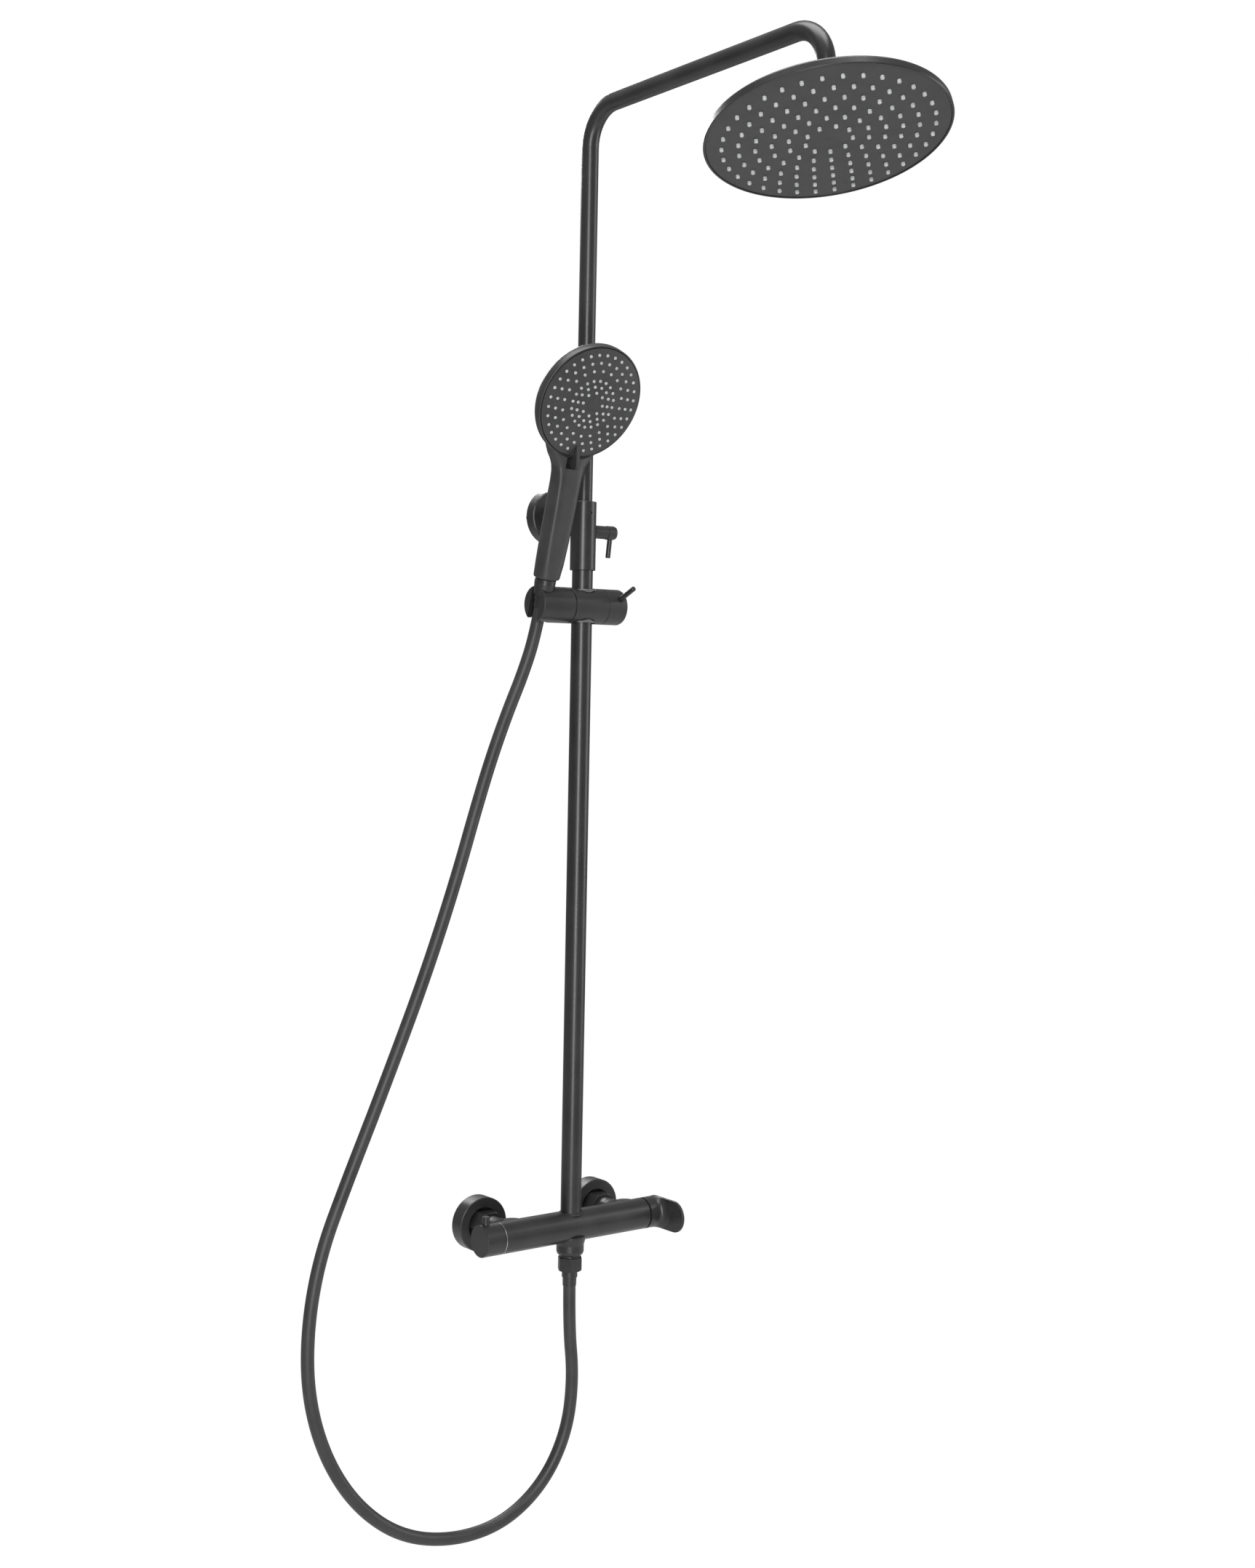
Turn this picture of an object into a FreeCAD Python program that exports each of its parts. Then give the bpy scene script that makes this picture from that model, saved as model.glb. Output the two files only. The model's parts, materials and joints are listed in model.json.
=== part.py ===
"""Wall-mounted rainfall shower column: bar mixer, telescopic riser, swivel arm,
tilting overhead shower, height slider and hand shower on a flexible hose.

Units are millimetres, +Z is up, the wall is the plane Y = 0 and the room is on
the -Y side.  The origin lies on the wall, midway between the two water inlets.
"""
import FreeCAD
import Part
import Sketcher
import math
import os
from FreeCAD import Vector, Rotation, Placement

doc = FreeCAD.newDocument("ShowerColumn")
NODES = {}

# ---------------------------------------------------------------- dimensions

DIMENSIONS = {
    # layout
    "inlet_spacing": 150.0,      # standard distance between hot and cold outlets
    "column_gap": 71.0,          # wall to riser axis
    "slider_height": 661.2,
    "lock_height": 739.9,
    "bracket_height": 757.0,
    "arm_height": 1177.0,        # where the riser and arm axes meet
    "arm_reach": 357.0,          # riser axis to ball joint
    "arm_rise": 1.64,            # degrees above level
    "ball_height": 1104.1,
    # mixer
    "body_r": 16.8,
    "body_left": -93.0,
    "body_right": 97.0,
    "knob_left": -117.2,
    "cartridge_bore_r": 13.2,
    # pipes
    "lower_r": 11.0,
    "lower_bore_r": 9.6,
    "lower_bottom": 4.0,
    "lower_top": 724.0,
    "upper_r": 9.0,
    "upper_bore_r": 7.8,
    "upper_bottom": 470.0,
    "first_bend_r": 40.0,
    "second_bend_r": 40.0,
    # bracket
    "sleeve_r": 13.5,
    "sleeve_bottom": 698.6,
    "sleeve_top": 770.5,
    "bracket_arm_r": 11.5,
    "rosette_r": 29.3,
    "lever_r": 2.65,
    # slider
    "slider_r": 18.9,
    "slider_left": -61.5,
    "slider_right": 47.4,
    "fork_x": -53.0,
    "fork_tilt": 16.2,
    # wall side
    "escutcheon_r": 29.4,
    "escutcheon_depth": 17.0,
    "thread_half_r": 10.48,      # G1/2 outside thread
    "thread_threequarter_r": 13.2,
    # overhead shower
    "head_r": 114.8,
    "head_tilt": 17.17,          # degrees, face turned towards the room
    "head_side": 4.2,            # degrees, sideways set of the ball joint
    "head_drop": 26.0,           # ball centre to face apex
    "head_sag": 2.94,            # face curvature at the outer nozzle ring
    "nozzle_ring_r": 98.1,
    "nozzle_r": 1.8,
    "ball_r": 9.5,
    # hand shower
    "hand_r": 60.0,
    "hand_tilt": 117.5,          # degrees, face normal from straight up
    "hand_y": -154.0,
    "hand_z": 859.6,
    "hand_ring_r": 50.9,
    "hand_sag": 2.8,
    "hand_nozzle_r": 1.5,
    # hose
    "hose_r": 6.7,
    "hose_bore_r": 4.5,
}

sheet = doc.addObject("Spreadsheet::Sheet", "Dims")
for row, (alias, number) in enumerate(DIMENSIONS.items(), start=1):
    sheet.set("A%d" % row, alias)
    sheet.set("B%d" % row, repr(number))
    sheet.setAlias("B%d" % row, alias)
doc.recompute()


class Q:
    """A number together with the spreadsheet formula it comes from."""

    def __init__(self, value, text=None):
        self.value = float(value)
        self.text = text if text is not None else "%.6g" % value
        self.linked = text is not None

    def join(self, other, sign, value, flip=False):
        other = q(other)
        first, second = (other, self) if flip else (self, other)
        text = "(%s %s %s)" % (first.text, sign, second.text)
        return Q(value, text if self.linked or other.linked else None)

    def __add__(self, other):
        return self.join(other, "+", self.value + q(other).value)

    def __radd__(self, other):
        return self.join(other, "+", self.value + q(other).value, True)

    def __sub__(self, other):
        return self.join(other, "-", self.value - q(other).value)

    def __rsub__(self, other):
        return self.join(other, "-", q(other).value - self.value, True)

    def __mul__(self, other):
        return self.join(other, "*", self.value * q(other).value)

    def __rmul__(self, other):
        return self.join(other, "*", self.value * q(other).value, True)

    def __truediv__(self, other):
        return self.join(other, "/", self.value / q(other).value)

    def __neg__(self):
        return Q(-self.value, "(0 - %s)" % self.text if self.linked else None)


def q(number):
    return number if isinstance(number, Q) else Q(number)


def dim(alias):
    return Q(DIMENSIONS[alias], "Dims." + alias)


def sin(angle):
    return Q(math.sin(math.radians(angle.value)), "sin(%s)" % angle.text)


def cos(angle):
    return Q(math.cos(math.radians(angle.value)), "cos(%s)" % angle.text)


def tan(angle):
    return Q(math.tan(math.radians(angle.value)), "tan(%s)" % angle.text)


# ------------------------------------------------------------ build helpers

ALONG_X = ((0, 1, 0), 90)        # local +Z points along +X
ALONG_MINUS_X = ((0, 1, 0), -90)
ALONG_Y = ((1, 0, 0), -90)       # local +Z points along +Y
ALONG_Z = ((0, 0, 1), 0)
FORWARD = ((1, 0, 0), 90)        # local +Z points along -Y, into the room


def bind(obj, prop, number):
    """Set a property and tie it to the spreadsheet when the number is linked."""
    number = q(number)
    if number.linked:
        obj.setExpression(prop, number.text)
    return number.value


def place(obj, base, turn):
    """Put an object at a base point, turned by an (axis, angle) pair."""
    axis, angle = turn
    values = [q(number) for number in base]
    rotation = Rotation(Vector(*axis), q(angle).value)
    obj.Placement = Placement(Vector(*[number.value for number in values]), rotation)
    for letter, number in zip("xyz", values):
        if number.linked:
            obj.setExpression("Placement.Base." + letter, number.text)
    if q(angle).linked:
        obj.setExpression("Placement.Rotation.Angle", q(angle).text)
    return obj


def cylinder(radius, length, base, turn=ALONG_Z):
    obj = doc.addObject("Part::Cylinder", "Cylinder")
    obj.Radius = bind(obj, "Radius", radius)
    obj.Height = bind(obj, "Height", length)
    return place(obj, base, turn)


def sphere(radius, base):
    obj = doc.addObject("Part::Sphere", "Sphere")
    obj.Radius = bind(obj, "Radius", radius)
    return place(obj, base, ALONG_Z)


def box(size, base, turn=ALONG_Z):
    obj = doc.addObject("Part::Box", "Box")
    for prop, number in zip(("Length", "Width", "Height"), size):
        setattr(obj, prop, bind(obj, prop, number))
    return place(obj, base, turn)


def hexagon(across_flats, length, base, turn=ALONG_Z):
    obj = doc.addObject("Part::Prism", "Hexagon")
    obj.Polygon = 6
    obj.Circumradius = bind(obj, "Circumradius", q(across_flats) / math.sqrt(3.0))
    obj.Height = bind(obj, "Height", length)
    return place(obj, base, turn)


def fuse(*objects):
    obj = doc.addObject("Part::MultiFuse", "Fuse")
    obj.Shapes = list(objects)
    return obj


def cut(base, *tools):
    obj = doc.addObject("Part::Cut", "Cut")
    obj.Base = base
    obj.Tool = tools[0] if len(tools) == 1 else fuse(*tools)
    return obj


def common(first, second):
    obj = doc.addObject("Part::Common", "Common")
    obj.Base = first
    obj.Tool = second
    return obj


def moved_with(obj, base, turn):
    """Carry a finished local shape to its place by a one-member compound."""
    holder = doc.addObject("Part::Compound", "Placed")
    holder.Links = [obj]
    return place(holder, base, turn)


def group(*objects):
    holder = doc.addObject("Part::Compound", "Group")
    holder.Links = list(objects)
    return holder


def pin_point(sketch, geo, point, number, kind):
    """Fix one coordinate of a sketch point, tied to the spreadsheet when linked."""
    number = q(number)
    if abs(number.value) < 1e-9:
        axis = -2 if kind == "DistanceX" else -1
        sketch.addConstraint(Sketcher.Constraint("PointOnObject", geo, point, axis))
        return
    if number.value > 0:
        rule = Sketcher.Constraint(kind, -1, 1, geo, point, number.value)
        text = number.text
    else:
        rule = Sketcher.Constraint(kind, geo, point, -1, 1, -number.value)
        text = "0 - %s" % number.text
    index = sketch.addConstraint(rule)
    if number.linked:
        sketch.setExpression("Constraints[%d]" % index, text)


def closed_sketch(body, points):
    """A closed polygon in the body's XZ plane, one fixed point per corner."""
    sketch = body.newObject("Sketcher::SketchObject", "Profile")
    sketch.Placement = Placement(Vector(), Rotation(Vector(1, 0, 0), 90))
    corners = [Vector(q(x).value, q(z).value, 0) for x, z in points]
    count = len(corners)
    for i in range(count):
        sketch.addGeometry(Part.LineSegment(corners[i], corners[(i + 1) % count]), False)
    for i in range(count):
        rule = Sketcher.Constraint("Coincident", i, 2, (i + 1) % count, 1)
        sketch.addConstraint(rule)
    for i, (x, z) in enumerate(points):
        pin_point(sketch, i, 1, x, "DistanceX")
        pin_point(sketch, i, 1, z, "DistanceY")
    return sketch


def turned(points, base=(0, 0, 0), turn=ALONG_Z):
    """A lathe part: (radius, height) corners revolved about the local Z axis."""
    body = doc.addObject("PartDesign::Body", "Turned")
    sketch = closed_sketch(body, points)
    revolution = body.newObject("PartDesign::Revolution", "Revolution")
    revolution.Profile = sketch
    revolution.ReferenceAxis = (sketch, ["V_Axis"])
    revolution.Angle = 360.0
    sketch.Visibility = False
    return place(body, base, turn)


def add_ring(body, radius, count, phase, hole_r, start, depth, pocket):
    """A ring of round studs (or holes) on a turned body, as a polar pattern."""
    sketch = body.newObject("Sketcher::SketchObject", "Ring")
    sketch.Placement = Placement(Vector(0, 0, q(start).value), Rotation(Vector(0, 0, 1), phase))
    if q(start).linked:
        sketch.setExpression("Placement.Base.z", q(start).text)
    centre = Vector(q(radius).value, 0, 0)
    sketch.addGeometry(Part.Circle(centre, Vector(0, 0, 1), q(hole_r).value), False)
    sketch.addConstraint(Sketcher.Constraint("PointOnObject", 0, 3, -1))
    index = sketch.addConstraint(Sketcher.Constraint("DistanceX", -1, 1, 0, 3, centre.x))
    sketch.setExpression("Constraints[%d]" % index, q(radius).text)
    index = sketch.addConstraint(Sketcher.Constraint("Radius", 0, q(hole_r).value))
    sketch.setExpression("Constraints[%d]" % index, q(hole_r).text)
    kind = "PartDesign::Pocket" if pocket else "PartDesign::Pad"
    feature = body.newObject(kind, "Nozzle")
    feature.Profile = sketch
    feature.Length = depth
    feature.Reversed = pocket
    pattern = body.newObject("PartDesign::PolarPattern", "Nozzles")
    pattern.Originals = [feature]
    pattern.Axis = (sketch, ["N_Axis"])
    pattern.Angle = 360.0
    pattern.Occurrences = count
    body.Tip = pattern
    sketch.Visibility = False
    return pattern


def node(label, obj):
    """Give a finished piece its name; the name becomes its file name."""
    obj.Label = label
    NODES[label] = obj
    return obj


def mirrored_pair(points, x, y, turn):
    left = turned(points, (-x, y, 0), turn)
    right = turned(points, (x, y, 0), turn)
    return group(left, right)


# -------------------------------------------------------------- wall unions

gap = dim("column_gap")
half_spacing = dim("inlet_spacing") / 2
half_thread = dim("thread_half_r")
big_thread = dim("thread_threequarter_r")
escutcheon_r = dim("escutcheon_r")
escutcheon_front = -dim("escutcheon_depth")

union_profile = [
    (7.0, 14.0), (half_thread - 0.6, 14.0), (half_thread, 13.2), (half_thread, -2.0),
    (10.3, -2.0), (10.3, -8.0), (big_thread, -8.6), (big_thread, -23.3),
    (big_thread - 0.7, -24.0), (7.0, -24.0),
]
node("wall_unions", mirrored_pair(union_profile, half_spacing, 0, ALONG_Y))

escutcheon_profile = [
    (escutcheon_r - 1.6, 0), (escutcheon_r, 0), (escutcheon_r, escutcheon_front + 0.8),
    (escutcheon_r - 0.8, escutcheon_front), (19.1, escutcheon_front),
    (18.5, escutcheon_front + 0.6), (18.5, -5.0), (10.56, -5.0), (10.56, -3.4),
    (20.1, -3.4), (20.1, escutcheon_front + 1.6), (escutcheon_r - 1.6, escutcheon_front + 1.6),
]
node("escutcheons", mirrored_pair(escutcheon_profile, half_spacing, 0, ALONG_Y))

filter_profile = [(6.0, -24.05), (12.4, -24.05), (12.4, -25.95), (6.0, -25.95)]
node("inlet_filters", mirrored_pair(filter_profile, half_spacing, 0, ALONG_Y))


def union_nut(x):
    blank = hexagon(30.0, 19.0, (x, -31.0, 0), ALONG_Y)
    rounding = turned(
        [(0, -31.2), (15.4, -31.2), (17.6, -29.7), (17.6, -13.4), (15.4, -11.8), (0, -11.8)],
        (x, 0, 0), ALONG_Y)
    thread = cylinder(big_thread + 0.05, 17.2, (x, -29.0, 0), ALONG_Y)
    neck_hole = cylinder(10.5, 4.0, (x, -32.0, 0), ALONG_Y)
    return cut(common(blank, rounding), thread, neck_hole)


node("union_nuts", group(union_nut(-half_spacing), union_nut(half_spacing)))

valve_profile = [(3.0, 0), (7.42, 0), (7.42, 3.0), (6.6, 4.0), (6.6, 11.0), (3.0, 12.0)]
node("check_valves", mirrored_pair(valve_profile, half_spacing, -44.0, ALONG_Y))

# --------------------------------------------------------------- mixer body

body_r = dim("body_r")
body_left = dim("body_left")
body_right = dim("body_right")
bore_r = dim("cartridge_bore_r")
neck_profile = [
    (0, 0), (19.0, 5.0), (16.6, 11.0), (14.6, 17.0), (13.3, 24.0), (12.8, 31.0),
    (12.8, gap - 31.2), (10.4, gap - 31.2), (10.4, gap - 28.9), (12.6, gap - 28.9),
    (12.6, gap - 26.05), (0, gap - 26.05),
]
boss_profile = [
    (0, -6.0), (17.2, -10.0), (15.6, -16.5), (14.75, -19.5), (14.75, -26.6), (14.1, -28.9),
    (12.6, -30.6), (10.9, -31.2), (0, -31.2),
]
barrel = turned(
    [(0, body_left), (body_r - 0.3, body_left), (body_r, body_left + 0.3),
     (body_r, body_right - 0.5), (body_r - 0.5, body_right), (0, body_right)],
    (0, -gap, 0), ALONG_X)
left_neck = common(turned(neck_profile, (-half_spacing, -gap, 0), ALONG_Y),
                   box((60, 60, 33.0), (-half_spacing - 30, -gap, -16.5)))
right_neck = common(turned(neck_profile, (half_spacing, -gap, 0), ALONG_Y),
                    box((60, 60, 33.0), (half_spacing - 30, -gap, -16.5)))
boss = common(turned(boss_profile, (0, -gap, 0)), cylinder(body_r, 40, (0, -gap, -35)))
left_bore = cylinder(bore_r, -body_left - 40, (body_left, -gap, 0), ALONG_X)
right_bore = cylinder(bore_r, body_right - 45, (45, -gap, 0), ALONG_X)
chamber = cylinder(8.5, 86, (-41, -gap, 0), ALONG_X)
left_way = cylinder(7.5, gap, (-half_spacing, -gap, 0), ALONG_Y)
right_way = cylinder(7.5, gap, (half_spacing, -gap, 0), ALONG_Y)
riser_socket = turned(
    [(0, 0), (8.4, 0), (8.4, 3.95), (11.04, 3.95), (11.04, 11.0), (12.7, 12.6), (12.7, 24),
     (0, 24)], (0, -gap, 0))
outlet_way = cylinder(8.6, 34, (0, -gap, -33))
node("mixer_body", cut(fuse(barrel, left_neck, right_neck, boss), left_bore, right_bore,
                       chamber, left_way, right_way, riser_socket, outlet_way))


def cartridge(mouth, back, turn_way):
    """Cartridge housing with a waist where the inlet port feeds it."""
    length = back - mouth
    return turned(
        [(4.1, 0), (13.12, 0), (13.12, 6.5), (10.8, 8.5), (10.8, 20.5), (13.12, 22.5),
         (13.12, 30.0), (11.6, 31.0), (11.6, 38.0), (13.12, 39.0), (13.12, length),
         (4.1, length)], turn_way[0], turn_way[1])


node("thermostatic_cartridge", cartridge(0, 46.0, ((-87.9, -gap, 0), ALONG_X)))
node("flow_cartridge", cartridge(0, 45.0, ((91.5, -gap, 0), ALONG_MINUS_X)))
left_bonnet = turned(
    [(4.2, 0), (13.14, 0), (13.14, 5.0), (4.2, 5.0)], (-88.0, -gap, 0), ALONG_MINUS_X)
right_bonnet = turned(
    [(4.2, 0), (13.14, 0), (13.14, 5.2), (14.6, 5.2), (14.6, 6.3), (4.2, 6.3)],
    (91.9, -gap, 0), ALONG_X)
node("cartridge_bonnets", group(left_bonnet, right_bonnet))
node("temperature_ring", turned(
    [(13.3, 0), (body_r, 0), (body_r, 0.7), (13.3, 0.7)], (body_left - 0.75, -gap, 0), ALONG_X))

# -------------------------------------------------------- temperature knob

knob_left = dim("knob_left")
knob_length = (body_left - 1.05) - knob_left
knob_shell = turned(
    [(0, 0), (body_r - 0.7, 0), (body_r, 0.7), (body_r, knob_length - 0.3),
     (body_r - 0.3, knob_length), (14.8, knob_length), (14.8, knob_length - 4.5),
     (8.0, knob_length - 4.5), (8.0, knob_length - 0.6), (4.04, knob_length - 0.6),
     (4.04, 8.0), (0, 8.0)], (knob_left, -gap, 0), ALONG_X)
pin_x = -109.5
node("temperature_knob", cut(knob_shell, cylinder(4.02, 12, (pin_x, -gap, 9.0))))
node("temperature_pin", turned(
    [(0, 9.2), (4.0, 9.2), (4.0, body_r + 7.8), (3.5, body_r + 8.4), (1.3, body_r + 8.4),
     (0, body_r + 7.7)], (pin_x, -gap, 0)))
spindle_profile = [(0, 0), (3.6, 0), (4.0, 0.5), (4.0, 25.0), (3.6, 25.5), (0, 25.5)]
node("temperature_spindle", turned(spindle_profile, (-108.9, -gap, 0), ALONG_X))

# ------------------------------------------------------------- flow handle

ring_left = 98.6
plate_x = 115.0
plate_t = 3.0
plate_reach = 32.0


def oval_outline(x, radius, reach):
    """Two half circles joined by straight sides: one about the barrel axis, one in front."""
    sketch = doc.addObject("Sketcher::SketchObject", "Outline")
    place(sketch, (x, -gap, 0), ((0, 1, 0), 90))
    r = q(radius).value
    up = Vector(0, 0, 1)
    sketch.addGeometry(Part.ArcOfCircle(Part.Circle(Vector(), up, r), 0, math.pi), False)
    sketch.addGeometry(Part.LineSegment(Vector(-r, 0, 0), Vector(-r, -reach, 0)), False)
    front = Part.Circle(Vector(0, -reach, 0), up, r)
    sketch.addGeometry(Part.ArcOfCircle(front, math.pi, 2 * math.pi), False)
    sketch.addGeometry(Part.LineSegment(Vector(r, -reach, 0), Vector(r, 0, 0)), False)
    return sketch


flare = doc.addObject("Part::Loft", "Flare")
FLARE_STEPS = ((0, 0.3), (3.5, 0.3), (7.0, 0.3), (9.5, 0.35), (11.5, 0.8), (13.4, 2.2),
               (14.9, 4.6), (15.9, 7.6), (16.6, 11.5))
flare.Sections = [oval_outline(ring_left + out, body_r, reach) for out, reach in FLARE_STEPS]
flare.Solid = True
plate = doc.addObject("Part::Extrusion", "Plate")
plate.Base = oval_outline(plate_x, body_r + 0.35, plate_reach)
plate.DirMode = "Custom"
plate.Dir = Vector(1, 0, 0)
plate.LengthFwd = plate_t
plate.Solid = True
doc.recompute()
plate_rims = [number for number, edge in enumerate(plate.Shape.Edges, start=1)
              if edge.BoundBox.XLength < 1e-6]
rounded_plate = doc.addObject("Part::Fillet", "RoundedPlate")
rounded_plate.Base = plate
rounded_plate.Edges = [(number, 0.9, 0.9) for number in plate_rims]
handle_socket = cylinder(4.04, 14.4, (ring_left - 1.0, -gap, 0), ALONG_X)
node("flow_handle", cut(fuse(flare, rounded_plate), handle_socket))
node("flow_spindle", turned(spindle_profile, (86.2, -gap, 0), ALONG_X))

# ------------------------------------------------------------ lower column

lower_r = dim("lower_r")
lower_bore = dim("lower_bore_r")
lower_bottom = dim("lower_bottom")
lower_top = dim("lower_top")
node("lower_pipe", turned(
    [(lower_bore, lower_bottom), (lower_r, lower_bottom), (lower_r, lower_top - 0.4),
     (lower_r - 0.4, lower_top), (lower_bore, lower_top)], (0, -gap, 0)))
node("riser_gasket", turned(
    [(lower_r + 0.05, 12.7), (12.62, 12.7), (12.62, 14.9), (lower_r + 0.05, 15.6)],
    (0, -gap, 0)))

# ------------------------------------------------- wall bracket and sleeve

sleeve_r = dim("sleeve_r")
sleeve_bottom = dim("sleeve_bottom")
sleeve_top = dim("sleeve_top")
lock_z = dim("lock_height")
bracket_z = dim("bracket_height")
bracket_r = dim("bracket_arm_r")
sleeve_bore = lower_r + 0.05
tube = turned(
    [(sleeve_bore, sleeve_bottom), (sleeve_r - 0.4, sleeve_bottom),
     (sleeve_r, sleeve_bottom + 0.4), (sleeve_r, sleeve_top - 0.4),
     (sleeve_r - 0.4, sleeve_top), (9.2, sleeve_top), (9.2, sleeve_top - 1.4),
     (sleeve_bore, sleeve_top - 1.4)], (0, -gap, 0))
stub = cut(cylinder(6.9, 17.0, (12.5, -gap, lock_z), ALONG_X),
           cylinder(12.4, 30.0, (0, -gap, lock_z - 15)))
stub_bore = cylinder(4.0, 24.0, (10.0, -gap, lock_z), ALONG_X)
bolt_hole = cylinder(3.05, 6.0, (0, -gap + 10.0, bracket_z), ALONG_Y)
screw_seat = cylinder(1.55, 6.0, (0, -gap - 10.0, sleeve_top - 12.0), FORWARD)
node("column_sleeve", cut(fuse(tube, stub), stub_bore, bolt_hole, screw_seat))
node("sleeve_screw", turned(
    [(0, 0), (1.5, 0), (1.5, 1.6), (0.8, 1.6), (0.8, 0.8), (0, 0.8)],
    (0, -gap - 11.3, sleeve_top - 12.0), FORWARD))
bush = turned(
    [(9.03, lower_top + 0.3), (lower_r, lower_top + 0.3), (lower_r, sleeve_top - 1.6),
     (9.03, sleeve_top - 1.6)], (0, -gap, 0))
node("guide_bush", cut(bush, cylinder(4.1, 20.0, (2.0, -gap, lock_z), ALONG_X),
                       box((8, 1.6, 60), (-14, -gap - 0.8, lower_top))))
node("lock_pad", common(
    cut(cylinder(4.0, 14.0, (0, -gap, lock_z), ALONG_X),
        cylinder(9.03, 20.0, (0, -gap, lock_z - 10))),
    box((4.0, 20, 20), (8.0, -gap - 10, lock_z - 10))))
node("lock_screw", turned(
    [(0, 0), (3.4, 0), (3.9, 0.5), (3.9, 24.5), (0, 24.5)], (12.3, -gap, lock_z), ALONG_X))
lock_body = turned(
    [(0, 7.0), (3.94, 7.0), (3.94, 0), (7.0, 0), (7.3, 0.3), (7.3, 9.0), (6.9, 10.6),
     (5.8, 11.5), (4.4, 11.8), (0, 11.9)], (29.9, -gap, lock_z), ALONG_X)
lever_r = dim("lever_r")
lock_turn = ((1, 0, 0), 188.0)
node("lock_knob", cut(lock_body, cylinder(lever_r + 0.02, 12.0, (36.0, -gap, lock_z), lock_turn)))
node("lock_lever", turned(
    [(0, 4.6), (lever_r, 4.6), (lever_r, 26.0), (lever_r - 0.5, 26.6), (0.9, 26.6), (0, 26.0)],
    (36.0, -gap, lock_z), lock_turn))

arm_tube = cylinder(bracket_r, gap - 3.2, (0, -gap, bracket_z), ALONG_Y)
arm_bore = cylinder(10.05, gap - 16.0, (0, -gap + 19.0, bracket_z), ALONG_Y)
arm_bolt_hole = cylinder(3.05, 20.0, (0, -gap + 8.0, bracket_z), ALONG_Y)
saddle = cylinder(sleeve_r + 0.02, 60.0, (0, -gap, bracket_z - 30))
node("bracket_arm", cut(arm_tube, arm_bore, arm_bolt_hole, saddle))
node("bracket_bolt", turned(
    [(0, 11.3), (3.0, 11.3), (3.0, 19.05), (5.5, 19.05), (5.5, 23.0), (2.4, 23.0),
     (2.4, 20.6), (0, 20.6)], (0, -gap, bracket_z), ALONG_Y))
rosette_r = dim("rosette_r")
node("rosette", turned(
    [(bracket_r + 0.08, -18.0), (bracket_r + 0.08, -20.0), (rosette_r - 2.2, -20.0),
     (rosette_r - 1.0, -18.9), (rosette_r, -8.6), (rosette_r - 0.4, -8.0), (rosette_r - 1.9, -8.0),
     (rosette_r - 2.9, -18.0)], (0, 0, bracket_z), ALONG_Y))
plate_disc = turned(
    [(0, 0), (20.0, 0), (20.0, -2.4), (19.4, -3.0), (9.95, -3.0), (9.95, -26.0),
     (9.2, -26.8), (4.0, -26.8), (4.0, -6.0), (0, -6.0)], (0, 0, bracket_z), ALONG_Y)
screw_x = 16.0
screw_holes = [cylinder(2.6, 8.0, (x, -5.0, bracket_z), ALONG_Y) for x in (-screw_x, screw_x)]
node("wall_plate", cut(plate_disc, *screw_holes))
screw_profile = [
    (0, -5.2), (0.9, -5.2), (0.9, -4.2), (1.6, -4.2), (1.6, -5.6), (3.3, -4.8), (3.3, -3.05),
    (2.5, -3.05), (2.5, 1.0), (1.9, 1.6), (1.9, 8.4), (1.3, 9.0), (0, 9.0),
]
node("wall_screws", group(*[turned(screw_profile, (x, 0, bracket_z), ALONG_Y)
                            for x in (-screw_x, screw_x)]))

# --------------------------------------------- upper pipe with the long arm

first_r = dim("first_bend_r")
second_r = dim("second_bend_r")
rise = dim("arm_rise")
arm_z = dim("arm_height")
reach = dim("arm_reach")
upper_bottom = dim("upper_bottom")
ball_z = dim("ball_height")
end_z = ball_z + 22.1
first_turn = 90 - rise
second_turn = 90 + rise
first_set = first_r * tan(first_turn / 2)
second_set = second_r * tan(second_turn / 2)
corner_z = arm_z + reach * tan(rise)


def pipe_bend(bend_radius, radius, turn, centre_y, centre_z, facing):
    """A quarter bend in the YZ plane; facing is +1 or -1, the side where it starts."""
    bend = doc.addObject("Part::Torus", "Bend")
    bend.Radius1 = bind(bend, "Radius1", bend_radius)
    bend.Radius2 = bind(bend, "Radius2", radius)
    bend.Angle3 = bind(bend, "Angle3", turn)
    rotation = Rotation(Vector(0, facing, 0), Vector(0, 0, 1), Vector(facing, 0, 0), "ZXY")
    bend.Placement = Placement(Vector(0, centre_y.value, centre_z.value), rotation)
    bend.setExpression("Placement.Base.y", centre_y.text)
    bend.setExpression("Placement.Base.z", centre_z.text)
    return bend


def arm_solid(radius, lower_end, upper_end):
    """The bent pipe as one solid of the given radius."""
    riser = cylinder(radius, arm_z - first_set - lower_end, (0, -gap, lower_end))
    first = pipe_bend(first_r, radius, first_turn, -(gap + first_r), arm_z - first_set, 1)
    span = reach / cos(rise) - first_set - second_set
    start_y = -gap - first_set * cos(rise)
    start_z = arm_z + first_set * sin(rise)
    straight = cylinder(radius, span, (0, start_y, start_z), ((1, 0, 0), first_turn))
    second = pipe_bend(second_r, radius, second_turn, -gap - reach + second_r,
                       corner_z - second_set, -1)
    drop = cylinder(radius, corner_z - second_set - upper_end, (0, -gap - reach, upper_end))
    return fuse(riser, first, straight, second, drop)


upper_r = dim("upper_r")
node("upper_pipe", cut(arm_solid(upper_r, upper_bottom, end_z),
                       arm_solid(dim("upper_bore_r"), upper_bottom - 1, end_z - 1)))
node("telescope_bush", turned(
    [(upper_r + 0.03, upper_bottom + 2.0), (lower_bore - 0.05, upper_bottom + 2.0),
     (lower_bore - 0.05, upper_bottom + 26.0), (upper_r + 0.03, upper_bottom + 26.0)],
    (0, -gap, 0)))

# ------------------------------------------------- ball joint and head unit

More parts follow.
